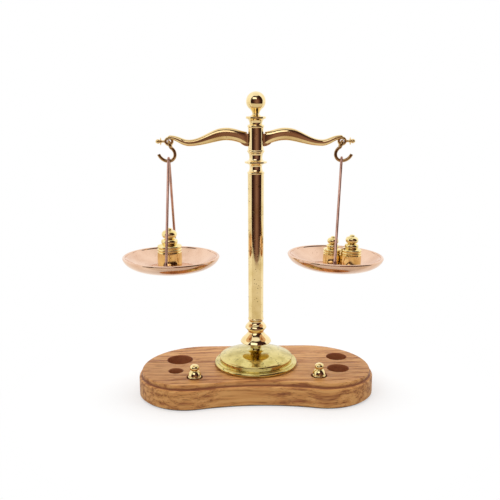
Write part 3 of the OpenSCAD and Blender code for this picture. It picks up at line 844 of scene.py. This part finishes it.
@dataclass
class Column:
    """Foot plate, bell, knop, tube, capital, slotted head and finial.

    A pair of sizes is a piece's largest radius and its height, but for the tube's radii at
    its foot and its top.
    """

    foot_z: float = 20.0
    foot: tuple[float, float] = (33.4, 19.0)
    bell: tuple[float, float] = (12.35, 8.3)
    knop: tuple[float, float] = (8.4, 11.6)
    shaft_r: tuple[float, float] = (5.95, 6.25)
    shaft_h: float = 115.7
    capital: tuple[float, float] = (8.6, 16.4)
    head_r: float = 6.05
    head_h: float = 18.9
    head_ring: float = 0.15
    head_bore: float = 4.6
    head_floor: float = 3.0
    head_hole: float = 2.01
    slot: float = 3.6
    slot_foot: float = 3.4
    pin_up: float = 11.0
    pin_r: float = 1.21
    finial: tuple[float, float] = (7.7, 27.0)
    plug_gap: float = 0.01
    plug_h: float = 2.5
    hole: float = 2.15
    tube_bore: float = 4.4
    foot_rows: Rows = (
        (0.955, 0, 0.4545), (0.955, 0.174, 0), (0.910, 0.153, 0), (0.877, 0.174, 0), (0.877, 0.321, 0.2),
        (0.838, 0.395, 0), (0.826, 0.400, 0.05), (0.235, 0.595, -0.2), (0.135, 0.737, 0), (0.141, 1, 0),
    )
    bell_rows: Rows = (
        (0.98, 0, 0), (1, 0.03, 0), (1, 0.06, 0.05), (0.778, 0.506, -0.05), (0.498, 1, 0),
    )
    knop_rows: Rows = (
        (0.73, 0, -0.05), (1.01, 0.295, 0), (1.025, 0.32, 0), (1.01, 0.37, 0.06), (0.80, 0.585, -0.06),
        (0.672, 0.745, -0.12), (0.738, 0.888, 0.08), (0.748, 0.97, 0), (0.72, 1, 0),
    )
    capital_rows: Rows = (
        (0.738, 0, 0), (0.75, 0.009, 0.12), (0.75, 0.091, 0), (0.651, 0.122, -0.08), (0.564, 0.366, -0.1),
        (0.721, 0.463, -0.1), (0.977, 0.506, 0), (1, 0.515, 0), (1, 0.579, 0), (0.965, 0.591, 0),
        (0.663, 0.634, -0.08), (0.581, 0.787, 0), (0.605, 0.86, -0.1), (0.69, 0.976, 0), (0.69, 1, 0),
    )
    finial_rows: Rows = (
        (0.792, 0, 0), (0.805, 0.004, 0.15), (0.805, 0.067, 0), (0.623, 0.096, -0.05),
        (0.688, 0.181, -0.12), (0.961, 0.248, 0), (1, 0.256, 0), (1, 0.296, 0), (0.935, 0.311, -0.1),
        (0.442, 0.344, -0.1), (0.351, 0.389, -0.1), (0.723, 0.541, 0.324), (0, 1, 0),
    )

    def bored(
        self, name: str, rows: Rows, size: tuple[float, float], z: float, hole: float
    ) -> bpy.types.Object:
        """Turns a piece with a plain bore through it.

        Args:
            name: Name of the piece.
            rows: Its turning points.
            size: Radius and height that the shares stand for.
            z: Height of its foot.
            hole: Radius of the bore.

        Returns:
            The piece.
        """
        outside = eased(turned_line(rows, *size), 0.18)
        line = np.concatenate([[[hole, 0]], outside, [[hole, size[1]]], [[hole, 0]]])
        return lathe(name, line, (0, 0, z), 144)

    def head_piece(self, z: float) -> bpy.types.Object:
        """The open-topped head: a ring foot, a plain barrel, the beam's slot and the pin hole.

        Args:
            z: Height of its foot.

        Returns:
            The piece.
        """
        r, ring, h = self.head_r, self.head_r + self.head_ring, self.head_h
        rows = (
            (ring, 0.0, 0), (ring, 0.1, 0.25), (ring, 1.8, 0), (r, 1.9, 0), (r, h - 0.1, 0), (r - 0.1, h, 0),
        )
        outside = eased(turned_line(rows, 1, 1), 0.12)
        inside = [
            [self.head_bore, h], [self.head_bore, self.head_floor],
            [self.head_hole, self.head_floor], [self.head_hole, 0.0],
        ]
        head = lathe("head_slotted", np.concatenate([outside, inside, outside[:1]]), (0, 0, z), 144)
        half, wide = self.slot / 2, 10
        slot = block("slot", (-wide, -half, z + self.slot_foot), (wide, half, z + h + 1))
        combined(head, slot, Tool.CUTS)
        pin = laid_over(bore(self.pin_r, -wide, wide), Lay.ALONG_Y)
        combined(head, moved(pin, (0, 0, z + self.pin_up)), Tool.CUTS)
        return finish_mesh(head)

    def finial_piece(self, z: float) -> bpy.types.Object:
        """The ball finial with the plug that stands in the head's bore.

        Args:
            z: Height of its foot.

        Returns:
            The piece.
        """
        line = eased(turned_line(self.finial_rows, *self.finial, steps=28), 0.15)
        plug = self.head_bore - self.plug_gap
        line = np.concatenate([[[0, -self.plug_h], [plug, -self.plug_h], [plug, 0]], line])
        return lathe("finial_turned", line, (0, 0, z), 144)

    def build(self) -> None:
        """Makes the seven pieces from the foot up."""
        tube_rows = ((self.shaft_r[0], 0.0, 0), (self.shaft_r[1], 1.0, 0))
        steps = [
            ("foot_plate", "turned", self.foot_rows, self.foot, self.hole, FOOT_BRASS, "foot_brass"),
            ("bell_foot", "turned", self.bell_rows, self.bell, self.hole, BRASS, "column_brass"),
            ("knop", "turned", self.knop_rows, self.knop, self.hole, BRASS, "column_brass"),
            ("shaft", "tube", tube_rows, (1.0, self.shaft_h), self.tube_bore, SHAFT_BRASS, "column_brass"),
            ("capital", "turned", self.capital_rows, self.capital, self.hole, BRASS, "column_brass"),
        ]
        z = self.foot_z
        for node, made, rows, size, hole, finish, slot in steps:
            piece = self.bored(f"{node}_{made}", rows, size, z, hole)
            dress(piece, finish.material(Axis()), slot, "stand", node)
            z += size[1]
        dress(self.head_piece(z), BRASS.material(Axis()), "column_brass", "stand", "head")
        finial = self.finial_piece(z + self.head_h)
        dress(finial, BRASS.material(Axis()), "column_brass", "stand", "finial")


# ---------------------------------------------------------------- beam


@dataclass
class Beam:
    """The cast swan-neck beam: two arms, the tongue in the head, two eyes and two knobs."""

    pivot_z: float = 202.0
    root: float = 6.9
    root_flat: float = 14.0
    root_size: tuple[float, float] = (3.4, 10.9)
    eye_x: float = 66.25
    eye_drop: float = 2.5
    ring_r: float = 2.6
    wire_r: float = 1.0
    # Distance from the pivot and height of each turning point of the middle line.
    crest: tuple[float, float] = (22.5, 3.0)
    trough: tuple[float, float] = (51.0, -3.7)
    scroll: tuple[float, float] = (65.5, 0.5)
    tip: tuple[float, float] = (68.85, -1.2)
    crest_flat: float = 27.0
    trough_flat: float = 56.0
    # Over the crest, over the trough, at the scroll and at the tip.
    depth: tuple[float, float, float, float] = (9.5, 4.9, 3.1, 2.1)
    width: tuple[float, float, float, float] = (5.6, 3.8, 2.8, 2.0)
    tongue: float = 3.0
    tongue_top: tuple[float, float] = (6.4, 3.4)
    tongue_edge: tuple[float, float] = (11.5, 4.1)
    tongue_foot: tuple[float, float] = (6.4, -6.3)
    tongue_bow: float = -0.085
    bevel: float = 0.3
    boss: tuple[float, float] = (2.4, 3.7)
    bore_r: float = 1.25
    knob_line: tuple[tuple[float, float], ...] = (
        (0, 3.2), (1.0, 3.2), (0.85, 5.0), (1.2, 5.6), (2.9, 6.1), (2.9, 6.5), (1.2, 6.9),
        (1.25, 7.2), (1.65, 7.7), (1.75, 8.4), (1.5, 9.3), (0.9, 10.0), (0, 10.3),
    )

    @staticmethod
    def wave(x: np.ndarray, a: tuple[float, float], b: tuple[float, float]) -> np.ndarray:
        """Half cosine wave that turns at a and b, as a function of x."""
        return a[1] + (b[1] - a[1]) * (1 - np.cos(math.pi * (x - a[0]) / (b[0] - a[0]))) / 2

    def along(self, x: np.ndarray, sizes: tuple[float, float, float, float]) -> np.ndarray:
        """Size of the arm along it: level over the crest and the trough, and eased down
        between them and on to the scroll and the tip.

        Args:
            x: Distances from the pivot.
            sizes: Size over the crest, over the trough, at the scroll and at the tip.

        Returns:
            The size at each x.
        """
        top, low, end, last = sizes
        turn, dip, flat = self.crest_flat, self.trough[0], self.trough_flat
        curl, tip = self.scroll[0], self.tip[0]
        return np.select(
            [x < turn, x < dip, x < flat, x < curl],
            [
                np.full_like(x, top),
                self.wave(x, (turn, top), (dip, low)),
                np.full_like(x, low),
                self.wave(x, (flat, low), (curl, end)),
            ],
            self.wave(x, (curl, end), (tip, last)),
        )

    def arm(self) -> bpy.types.Object:
        """One arm: an upright oval section carried along half cosine waves.

        A point of the surface is (x, w(x) cos a, mid(x) + h(x) sin a), with w and h half the
        width and half the depth, and both grow by a parabola towards the root.

        Returns:
            The piece, with X from the pivot and heights from the pivot.
        """
        a = np.linspace(0, 2 * math.pi, 48, endpoint=False) + math.pi / 48
        x = np.concatenate([
            np.linspace(self.root, self.scroll[0], 160)[:-1],
            np.linspace(self.scroll[0], self.tip[0], 16),
        ])
        mid = np.select(
            [x < self.trough[0], x < self.scroll[0]],
            [self.wave(x, self.crest, self.trough), self.wave(x, self.trough, self.scroll)],
            self.wave(x, self.scroll, self.tip),
        )
        w, h = self.along(x, self.width) / 2, self.along(x, self.depth) / 2
        flare = (np.clip(self.root_flat - x, 0, None) / (self.root_flat - self.root)) ** 2
        w += flare * (self.root_size[0] - self.width[0]) / 2
        h += flare * (self.root_size[1] - self.depth[0]) / 2
        grid = np.stack([
            np.broadcast_to(x[:, None], (len(x), len(a))),
            np.cos(a) * w[:, None],
            mid[:, None] + np.sin(a) * h[:, None],
        ], axis=-1)
        return finish_mesh(grid_mesh("arm", grid))

    def end_parts(self, side: Side) -> list[bpy.types.Object]:
        """The arm, the eye's ring and the small turned knob of one side.

        Args:
            side: Which side.

        Returns:
            The overlapping solids.
        """
        a = np.linspace(0, 2 * math.pi, 64, endpoint=False)
        ring = np.stack([self.ring_r * np.cos(a), 0 * a, self.ring_r * np.sin(a)], axis=1)
        size = np.full(64, self.wire_r)
        eye = tube("eye", ring, size, size, np.array([0.0, 1.0, 0.0]), closed=True)
        knob = lathe("knob", eased(np.array(self.knob_line), 0.25), (0, 0, 0), 48)
        laid_over(knob, Lay.ALONG_X)
        for part in (eye, knob):
            moved(part, (self.eye_x, 0, -self.eye_drop))
        parts = [self.arm(), eye, knob]
        if side is Side.LEFT:
            for part in parts:
                part.data.transform(Matrix.Scale(-1, 4, (1, 0, 0)))
                part.data.flip_normals()
        return parts

    def tongue_piece(self) -> bpy.types.Object:
        """The flat tongue that stands in the head's slot, flared at its foot.

        Returns:
            The piece, about the pivot.
        """
        (edge, high), (foot_x, foot_z) = self.tongue_edge, self.tongue_foot
        foot = turned_line(((edge, -high, self.tongue_bow), (foot_x, foot_z, 0)), 1, 1)
        right = np.concatenate([[self.tongue_top, self.tongue_edge], foot])
        x, z = np.concatenate([right, (right * (-1, 1))[::-1]]).T
        half, cut = self.tongue / 2, self.bevel
        layers = [(-half, cut), (cut - half, 0.0), (half - cut, 0.0), (half, cut)]
        grid = np.stack([
            np.column_stack([x * (1 - cut / edge), 0 * x + y, z * (1 + cut / foot_z)]) for y, cut in layers
        ])
        return finish_mesh(grid_mesh("tongue", grid))

    def build(self) -> None:
        """Welds the parts into one beam, bores it for the pin and dresses it."""
        radius, half = self.boss
        boss = lathe("boss", eased(rod_line(radius, -half, half), 0.2), (0, 0, 0), 64)
        parts = [self.tongue_piece(), laid_over(boss, Lay.ALONG_Y)]
        parts += self.end_parts(Side.RIGHT) + self.end_parts(Side.LEFT)
        beam = joined("beam_swan_neck", parts)
        combined(beam, laid_over(bore(self.bore_r, -10, 10), Lay.ALONG_Y), Tool.CUTS)
        finish_mesh(moved(beam, (0, 0, self.pivot_z)))
        dress(beam, BEAM_BRASS.material(), "beam_brass", "beam", "beam")


# ---------------------------------------------------------------- hooks, bails and pans


@dataclass
class Hanger:
    """One hook with its bail and pan, worked out upright about X = 0 and then hung below the
    beam's eye and leaned about it."""

    side: Side
    lean: float = 0.0
    turn: float = 0.0
    eye_x: float = 66.25
    hinge_z: float = 199.25
    loop_r: float = 2.45
    loop_lean: float = 18.0
    wire: float = 1.25
    neck_r: float = 6.1
    bend_r: float = 4.9
    tip_r: float = 8.0
    tip_sweep: float = 70.0
    # Share of a step that the tip runs on, and share of the wire that is left there.
    tip_round: tuple[float, float] = (0.2, 0.86)
    foot_x: float = 0.5
    crown_r: float = 2.75
    bail_wire: float = 1.05
    hang_gap: float = 0.1
    # Share of the leg that bends into the foot, and length of the foot past the bend.
    knee: tuple[float, float] = (0.04, 1.5)
    # Share by which the end of the foot is wider and thinner than the wire.
    hammered: float = 0.6
    bail_h: float = 76.5
    pan_r: float = 38.0
    floor_r: float = 16.0
    depth: float = 11.0
    sheet: float = 0.9
    lip: float = 1.1
    lip_turn: float = 150.0
    foot_r: float = 35.3
    leaf: tuple[float, float] = (2.5, 0.9)
    leaf_gap: float = 0.06

    def __post_init__(self) -> None:
        """Works out the heights down the hanger from the hinge in the eye."""
        lean = math.radians(self.loop_lean)
        self.loop_foot = np.array([-math.sin(lean), -math.cos(lean)]) * 2 * self.loop_r
        self.neck_x = self.foot_x - self.bend_r + self.neck_r
        self.neck_a = math.acos((self.neck_x - self.loop_foot[0]) / self.neck_r)
        self.neck_z = self.hinge_z + self.loop_foot[1] - self.neck_r * math.sin(self.neck_a)
        self.hook_foot_z = self.neck_z - self.bend_r
        self.crown_z = self.hook_foot_z + self.wire + self.bail_wire + self.hang_gap - self.crown_r
        self.rim_z = self.crown_z + self.crown_r - self.bail_h
        self.pan_z = self.rim_z - self.depth

    def name(self, part: str) -> str:
        """Name of a part of this side, such as pan_left."""
        return f"{part}_{self.side.name.lower()}"

    def at(self, right: float, y: float, z: float) -> tuple[float, float, float]:
        """Place in the part's frame of a point of the upright hanger.

        Args:
            right: How far right of the eye the point is, on both sides.
            y: Its Y.
            z: Its height.

        Returns:
            X, Y and Z.
        """
        a = math.radians(self.lean)
        down = z - self.hinge_z
        x = self.side.value * self.eye_x + right * math.cos(a) + down * math.sin(a)
        return (x, y, self.hinge_z - right * math.sin(a) + down * math.cos(a))

    def placed(self, piece: bpy.types.Object, out: float = 0.0, turn: float = 0.0) -> bpy.types.Object:
        """Turns an upright piece about its own axis, hangs it below the eye and leans it.

        Args:
            piece: A piece made about the upright axis at X = 0.
            out: How far outward of the eye its axis hangs.
            turn: Turn in degrees, clockwise from above.

        Returns:
            The same object.
        """
        spin = Matrix.Rotation(math.radians(-turn), 4, "Z")
        down = Matrix.Translation((self.side.value * out * MM, 0, -self.hinge_z * MM))
        lean = Matrix.Rotation(math.radians(self.lean), 4, "Y")
        hang = Matrix.Translation((self.side.value * self.eye_x * MM, 0, self.hinge_z * MM))
        piece.data.transform(hang @ lean @ down @ spin)
        return piece

    def hook(self) -> bpy.types.Object:
        """A closed loop that leans inward and, bent on from its foot, an open hook.

        Returns:
            The piece.
        """
        s = self.side.value
        a = np.linspace(0, 2 * math.pi, 64, endpoint=False)
        down = self.loop_foot / (2 * self.loop_r)
        run = self.loop_r * (1 - np.sin(a))
        loop = np.stack([s * run * down[0], self.loop_r * np.cos(a), self.hinge_z + run * down[1]], axis=1)
        size = np.full(64, self.wire)
        square = np.array([-s * down[1], 0.0, down[0]])
        ring = tube(self.name("loop"), loop, size, size, square, closed=True)
        neck = arc((self.neck_x, self.neck_z), self.neck_r, 180 - math.degrees(self.neck_a), 180, 24)
        bend = arc((self.foot_x, self.neck_z), self.bend_r, 180, 270, 30)
        tip = arc((self.foot_x, self.hook_foot_z + self.tip_r), self.tip_r, 270, 270 + self.tip_sweep, 36)
        flat = np.concatenate([neck, bend[1:], tip[1:]])
        on, thin = self.tip_round
        flat = np.concatenate([flat, flat[-1:] + (flat[-1:] - flat[-2:-1]) * on])
        path = np.stack([s * flat[:, 0], 0 * flat[:, 0], flat[:, 1]], axis=1)
        size = np.full(len(path), self.wire)
        size[-1] *= thin
        wire = tube(self.name("bend"), path, size, size, np.array([0.0, 1.0, 0.0]))
        return self.placed(joined(self.name("hook") + "_wire", [ring, wire]))

    def wall(self, t: np.ndarray, inward: float) -> np.ndarray:
        """Points of the pan's wall, from the floor to the rim.

        The wall is at radius floor + (rim - floor - inward) sin t.  Outside it is a quarter
        oval that ends upright, at height depth (1 - cos t); inside it is a shallower bowl, at
        height inward + (depth - inward) sin^2 t, so that the sheet thickens into the rim.

        Args:
            t: Angles from 0 at the floor to pi/2 at the rim.
            inward: 0 for the outside, or the sheet's thickness for the inside.

        Returns:
            Radius and height of each point.
        """
        wide, deep = self.pan_r - self.floor_r - inward, self.depth - inward
        rise = np.sin(t) ** 2 if inward else 1 - np.cos(t)
        return np.stack([self.floor_r + wide * np.sin(t), inward + deep * rise], axis=-1)

    def pan(self) -> bpy.types.Object:
        """The spun copper pan with its rolled lip.

        Returns:
            The piece.
        """
        floor = np.linspace(0, self.floor_r, 12)[:-1]
        t = np.linspace(0, math.pi / 2, 72)
        out, inn = self.wall(t, 0.0), self.wall(t, self.sheet)
        lip = arc((self.pan_r - self.lip, self.depth - self.lip), self.lip, 0, self.lip_turn, 16)
        step = 0.1
        line = np.concatenate([
            np.column_stack([floor, 0 * floor]),
            out[out[:, 1] < lip[0, 1] - step], lip,
            inn[inn[:, 0] < lip[-1, 0] - step][::-1],
            np.column_stack([floor, 0 * floor + self.sheet])[::-1],
        ])
        return self.placed(lathe(self.name("pan") + "_spun", line, (0, 0, self.pan_z), 256), self.foot_x)

    def leaf_foot(self, foot: np.ndarray, slope: float, way: int) -> bpy.types.Object:
        """A round leaf, a little fuller in the middle, laid along the pan's wall.

        Args:
            foot: Y and Z of its middle, at the rear.
            slope: Rise of the wall there, in radians.
            way: 1 for the rear foot and -1 for the front one.

        Returns:
            The piece.
        """
        r, t = self.leaf[0], self.leaf[1] / 2
        line = np.array([[0, -t], [r - 0.15, -t], [r, -0.1], [r, 0.1], [0.6 * r, t], [0, t + 0.3]])
        leaf = lathe("leaf", eased(line, 0.2), (0, 0, 0), 48)
        tilt = Matrix.Rotation(way * slope, 4, "X")
        leaf.data.transform(Matrix.Translation((0, way * foot[0] * MM, foot[1] * MM)) @ tilt)
        return leaf

    def bail(self) -> bpy.types.Object:
        """The bent wire that carries the pan: a round crown over the hook, two straight legs
        and two hammered leaf feet on the wall.

        Returns:
            The piece.
        """
        t = math.asin((self.foot_r - self.floor_r) / (self.pan_r - self.floor_r - self.sheet))
        step = np.diff(self.wall(np.array([t - 0.01, t + 0.01]), self.sheet), axis=0)[0]
        along = step / np.linalg.norm(step)
        off = (self.leaf_gap + self.leaf[1] / 2) * np.array([-along[1], along[0]])
        foot = self.wall(np.array(t), self.sheet) + off + (0, self.pan_z)
        reach = foot - (0, self.crown_z)
        start = math.atan2(reach[1], reach[0]) + math.acos(self.crown_r / np.linalg.norm(reach))
        start = math.degrees(start)
        crown = arc((0, self.crown_z), self.crown_r, start, 180 - start, 44)
        near = foot + (crown[0] - foot) * self.knee[0]
        lower = foot - along * self.knee[1]
        leg = crown[0] + (near - crown[0]) * np.linspace(0, 1, 60)[:, None]
        t = np.linspace(0, 1, 14)[1:, None]
        knee = (1 - t) ** 2 * near + 2 * t * (1 - t) * foot + t**2 * lower
        half = np.concatenate([leg[1:], knee])
        flat = np.concatenate([(half * (-1, 1))[::-1], crown[::-1], half])
        spread = np.zeros(len(flat))
        spread[-len(t):] = self.hammered * t[:, 0] ** 2
        spread = np.maximum(spread, spread[::-1])
        path = np.column_stack([0 * flat[:, 0], flat])
        wide, thick = self.bail_wire * (1 + spread), self.bail_wire * (1 - spread)
        wire = tube(self.name("bail"), path, wide, thick, np.array([1.0, 0.0, 0.0]))
        slope = math.atan2(along[1], along[0])
        leaves = [self.leaf_foot(foot, slope, way) for way in (-1, 1)]
        return self.placed(joined(self.name("bail") + "_bent", [wire] + leaves), self.foot_x, self.turn)

    def build(self) -> None:
        """Makes and dresses the hook, the bail and the pan."""
        hook, pan = self.name("hook"), self.name("pan")
        axis = Axis(self.at(self.side.value * self.foot_x, 0, self.pan_z), self.lean)
        dress(self.hook(), HOOK_BRASS.material(), "hook_brass", hook, hook)
        dress(self.bail(), BAIL_COPPER.material(), "bail_copper", pan, self.name("bail"))
        dress(self.pan(), COPPER.material(axis), "copper", pan, pan)


# ---------------------------------------------------------------- weights


HANGERS = {
    Side.LEFT: Hanger(Side.LEFT, turn=1.5),
    Side.RIGHT: Hanger(Side.RIGHT, lean=2.3, turn=9.0),
}

# Body, double ring, bulge, neck, knob and button.
PAN_WEIGHT: Rows = (
    (0, 0, 0), (0.88, 0, 0.12), (0.98, 0.035, 0.02), (0.98, 0.415, 0), (0.92, 0.428, 0),
    (0.95, 0.435, 0.25), (0.95, 0.497, 0), (0.90, 0.505, 0), (0.94, 0.512, 0.25), (0.94, 0.578, 0),
    (0.84, 0.588, 0), (0.60, 0.615, 0.22), (0.58, 0.73, 0), (0.38, 0.742, 0), (0.38, 0.752, 0.42),
    (0.30, 0.955, 0), (0.26, 0.962, 0.3), (0, 1, 0),
)

# Body, groove, bell-shaped skirt and round knob.
BOARD_WEIGHT: Rows = (
    (0, 0, 0), (0.90, 0, 0.1), (0.98, 0.04, 0), (0.98, 0.405, 0.2), (0.84, 0.44, -0.1), (0.80, 0.47, -0.1),
    (0.93, 0.495, 0.2), (0.95, 0.52, 0.06), (0.62, 0.715, -0.1), (0.54, 0.74, 0.42), (0, 1, 0),
)


@dataclass
class Weight:
    """One turned brass weight, on a pan or in its hole.

    On a pan its place is given from the middle of the pan's floor.
    """

    node: str
    radius: float
    tall: float
    place: tuple[float, float, float]
    pan: Optional[Side] = None

    def build(self) -> None:
        """Turns the weight, stands it in place and dresses it."""
        rows = BOARD_WEIGHT if self.pan is None else PAN_WEIGHT
        line = eased(turned_line(rows, self.radius, self.radius * self.tall, 16), 0.12)
        if self.pan is None:
            piece = lathe(self.node + "_turned", line, self.place, 96)
            axis = Axis(self.place)
        else:
            hanger = HANGERS[self.pan]
            x, y, z = self.place
            x, z = x + self.pan.value * hanger.foot_x, z + hanger.pan_z + hanger.sheet
            piece = hanger.placed(lathe(self.node + "_turned", line, (x, y, z), 96))
            axis = Axis(hanger.at(x, y, z), hanger.lean)
        dress(piece, WEIGHT_BRASS.material(axis), "weight_brass", self.node, self.node)


WEIGHTS = [
    Weight("weight_large", 9.65, 3.26, (-1.2, 2.0, 0.1), Side.LEFT),
    Weight("weight_medium_a", 7.25, 3.26, (-2.05, 4.0, 0.1), Side.RIGHT),
    Weight("weight_medium_b", 8.15, 3.26, (11.8, -3.5, 0.22), Side.RIGHT),
    Weight("weight_small_left", 5.2, 3.1, (-48.5, -27.8, 13.6)),
    Weight("weight_small_right", 5.2, 3.1, (48.5, -27.8, 13.6)),
]


# ---------------------------------------------------------------- studio


@dataclass
class Studio:
    """Pale floor, soft lamps, a white surround and the camera.  Lengths are in metres."""

    eye: tuple[float, float, float] = (-0.0195, -0.5597, 0.2342)
    heading: float = -2.0
    pitch: float = 12.07
    lens: float = 52.24
    sensor: float = 36.0
    shift: float = -0.0118
    floor_size: float = 6.0
    # Where the white sheet ends in front, over what length, and how round its edge is, from
    # straight at 0 to a circle at 1.
    sheet_edge: float = 0.43
    sheet_fade: float = 0.02
    sheet_bend: float = 0.6
    # Way to the dim room, in degrees right of -Y, and cosines of the angles where it starts.
    room_heading: float = 10.0
    room_edge: tuple[float, float] = (0.22, 0.27)
    # Rise of a mirrored ray over which the room turns into the pale ceiling.
    overhead: tuple[float, float] = (0.86, 0.93)
    # Distances between which the floor turns from lit paper to an even glow, and the glow's
    # share at the nearer one.
    shade_edge: tuple[float, float] = (0.08, 0.20)
    shade_glow: float = 0.45
    lamp_aim: tuple[float, float, float] = (0.0, 0.0, 0.1)

    def room_way(self) -> tuple[float, float, float]:
        """Direction of the dim room that the polished metal mirrors."""
        a = math.radians(self.room_heading)
        return (math.sin(a), -math.cos(a), 0.0)

    def camera(self) -> None:
        """Sets the camera in front of the column, a little to its left and above the pans."""
        data = bpy.data.cameras.new("camera")
        data.lens = self.lens
        data.sensor_width = self.sensor
        data.shift_x = self.shift
        data.clip_start = 0.01
        camera = bpy.data.objects.new("camera", data)
        bpy.context.scene.collection.objects.link(camera)
        camera.location = self.eye
        camera.rotation_euler = (math.radians(90 - self.pitch), 0.0, math.radians(self.heading))
        bpy.context.scene.camera = camera

    def room(self, tree: bpy.types.NodeTree, ahead: bpy.types.NodeSocket) -> bpy.types.NodeSocket:
        """Colours of the dim room: white outside it, nearly black just inside its edge and a
        warm grey-brown in its middle.

        Args:
            tree: The tree that gets the ramp.
            ahead: Cosine of the angle from the room's middle.

        Returns:
            The colour.
        """
        stops = [
            (self.room_edge[0], linear("#FFFFFF")), (self.room_edge[1], linear("#2E1A18")),
            (0.70, linear("#362020")), (0.87, linear("#5C3E3C")),
            (0.96, linear("#7A5852")), (1.0, linear("#8C6A62")),
        ]
        return add(tree, "ValToRGB", {0: ahead}, stops=stops).outputs[0]

    def floor(self) -> None:
        """A wide pale floor: white to the eye and near the object, darker where a polished
        surface mirrors the part of it that lies far in front."""
        half = self.floor_size / MM / 2
        floor = block("floor", (-half, -half, -20.0), (half, half, -0.02))
        material, tree, out = new_tree("floor_paper")
        place = add(tree, "TexCoord").outputs["Object"]
        links = {0: place, 1: self.room_way()}
        away = add(tree, "VectorMath", links, operation="DOT_PRODUCT").outputs["Value"]
        far = add(tree, "VectorMath", {0: place}, operation="LENGTH").outputs["Value"]
        ahead = add(tree, "Math", {0: away, 1: far}, operation="DIVIDE").outputs[0]
        wide = add(tree, "MapRange", {0: ahead, 1: self.room_edge[0], 2: self.room_edge[1]}).outputs[0]
        bent = add(tree, "Mix", {0: self.sheet_bend, 2: away, 3: far}).outputs[0]
        links = {0: bent, 1: self.sheet_edge, 2: self.sheet_edge + self.sheet_fade}
        front = add(tree, "MapRange", links).outputs[0]
        front = add(tree, "Math", {0: front, 1: wide}, operation="MULTIPLY").outputs[0]
        ray = add(tree, "LightPath").outputs
        sheet = add(tree, "MixRGB", {0: wide, 1: linear("#FFFDF8"), 2: linear("#E6DED0")}).outputs[0]
        mirrored = add(tree, "MixRGB", {0: front, 1: sheet, 2: self.room(tree, ahead)}).outputs[0]
        colour = add(tree, "MixRGB", {0: ray["Is Glossy Ray"], 1: grey(1.0), 2: mirrored}).outputs[0]
        tone = add(tree, "MixRGB", {0: ray["Is Camera Ray"], 1: grey(0.55), 2: grey(0.93)}).outputs[0]
        paper = add(tree, "BsdfDiffuse", {"Color": tone})
        glow = add(tree, "Emission", {"Color": colour, "Strength": 1.0})
        links = {0: far, 1: self.shade_edge[0], 2: self.shade_edge[1], 3: self.shade_glow, 4: 1.0}
        share = add(tree, "MapRange", links, interpolation_type="SMOOTHSTEP").outputs[0]
        lit = add(tree, "MixShader", {0: share, 1: paper.outputs[0], 2: glow.outputs[0]})
        links = {0: ray["Is Camera Ray"], 1: ray["Is Glossy Ray"]}
        seen = add(tree, "Math", links, operation="MAXIMUM").outputs[0]
        mix = add(tree, "MixShader", {0: seen, 1: paper.outputs[0], 2: lit.outputs[0]})
        tree.links.new(mix.outputs[0], out.inputs["Surface"])
        floor.data.materials.append(material)

    def surround(self) -> None:
        """White all round to the eye; soft grey as light; white with a dim room in front
        where polished metal mirrors it."""
        world = bpy.data.worlds.new("surround")
        bpy.context.scene.world = world
        world.use_nodes = True
        tree = world.node_tree
        tree.nodes.clear()
        out = add(tree, "OutputWorld")
        way = add(tree, "TexCoord").outputs["Generated"]
        links = {0: way, 1: self.room_way()}
        ahead = add(tree, "VectorMath", links, operation="DOT_PRODUCT").outputs["Value"]
        up = add(tree, "SeparateXYZ", {0: way}).outputs[2]
        above = add(tree, "MapRange", {0: up, 1: self.overhead[0], 2: self.overhead[1]}).outputs[0]
        links = {0: above, 1: self.room(tree, ahead), 2: linear("#F4F2EE")}
        mirror = add(tree, "MixRGB", links).outputs[0]
        ray = add(tree, "LightPath").outputs
        soft = add(tree, "Background", {"Color": grey(1.0), "Strength": 0.62})
        seen = add(tree, "Background", {"Color": grey(1.0), "Strength": 1.0})
        shiny = add(tree, "Background", {"Color": mirror, "Strength": 1.1})
        mix = add(tree, "MixShader", {0: ray["Is Glossy Ray"], 1: soft.outputs[0], 2: shiny.outputs[0]})
        mix = add(tree, "MixShader", {0: ray["Is Camera Ray"], 1: mix.outputs[0], 2: seen.outputs[0]})
        tree.links.new(mix.outputs[0], out.inputs["Surface"])

    def lamps(self) -> None:
        """One softbox that the metal mirrors, over the camera's left shoulder, and three soft
        panels that light the object and aren't mirrored."""
        panels = [
            ("softbox", (-0.40, -1.23, 1.18), 1.32, 0.56, 3.6, True),
            ("key", (-0.55, -0.55, 0.75), 0.5, 0.5, 1.5, False),
            ("fill", (0.7, -0.35, 0.45), 0.4, 0.5, 0.7, False),
            ("top", (0.0, 0.15, 0.9), 0.9, 0.5, 4.2, False),
        ]
        for name, place, width, height, power, mirrored in panels:
            data = bpy.data.lights.new(name, "AREA")
            data.shape = "RECTANGLE"
            data.size, data.size_y = width, height
            data.energy = power
            lamp = bpy.data.objects.new(name, data)
            bpy.context.scene.collection.objects.link(lamp)
            x, y, z = np.array(self.lamp_aim) - np.array(place)
            lamp.location = place
            lamp.rotation_euler = (math.atan2(math.hypot(x, y), -z), 0.0, math.atan2(y, x) - math.pi / 2)
            lamp.visible_glossy = mirrored

    def build(self) -> None:
        """Sets up the whole studio with plain colour handling."""
        self.camera()
        self.floor()
        self.surround()
        self.lamps()
        bpy.context.scene.view_settings.view_transform = "Standard"


def main() -> None:
    """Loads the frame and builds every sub-assembly in order."""
    logging.basicConfig(level=logging.INFO, format="%(message)s")
    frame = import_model()
    Studio().build()
    Plinth().build(frame["nodes"])
    Column().build()
    Beam().build()
    for hanger in HANGERS.values():
        hanger.build()
    for weight in WEIGHTS:
        weight.build()


if __name__ == "__main__":
    main()
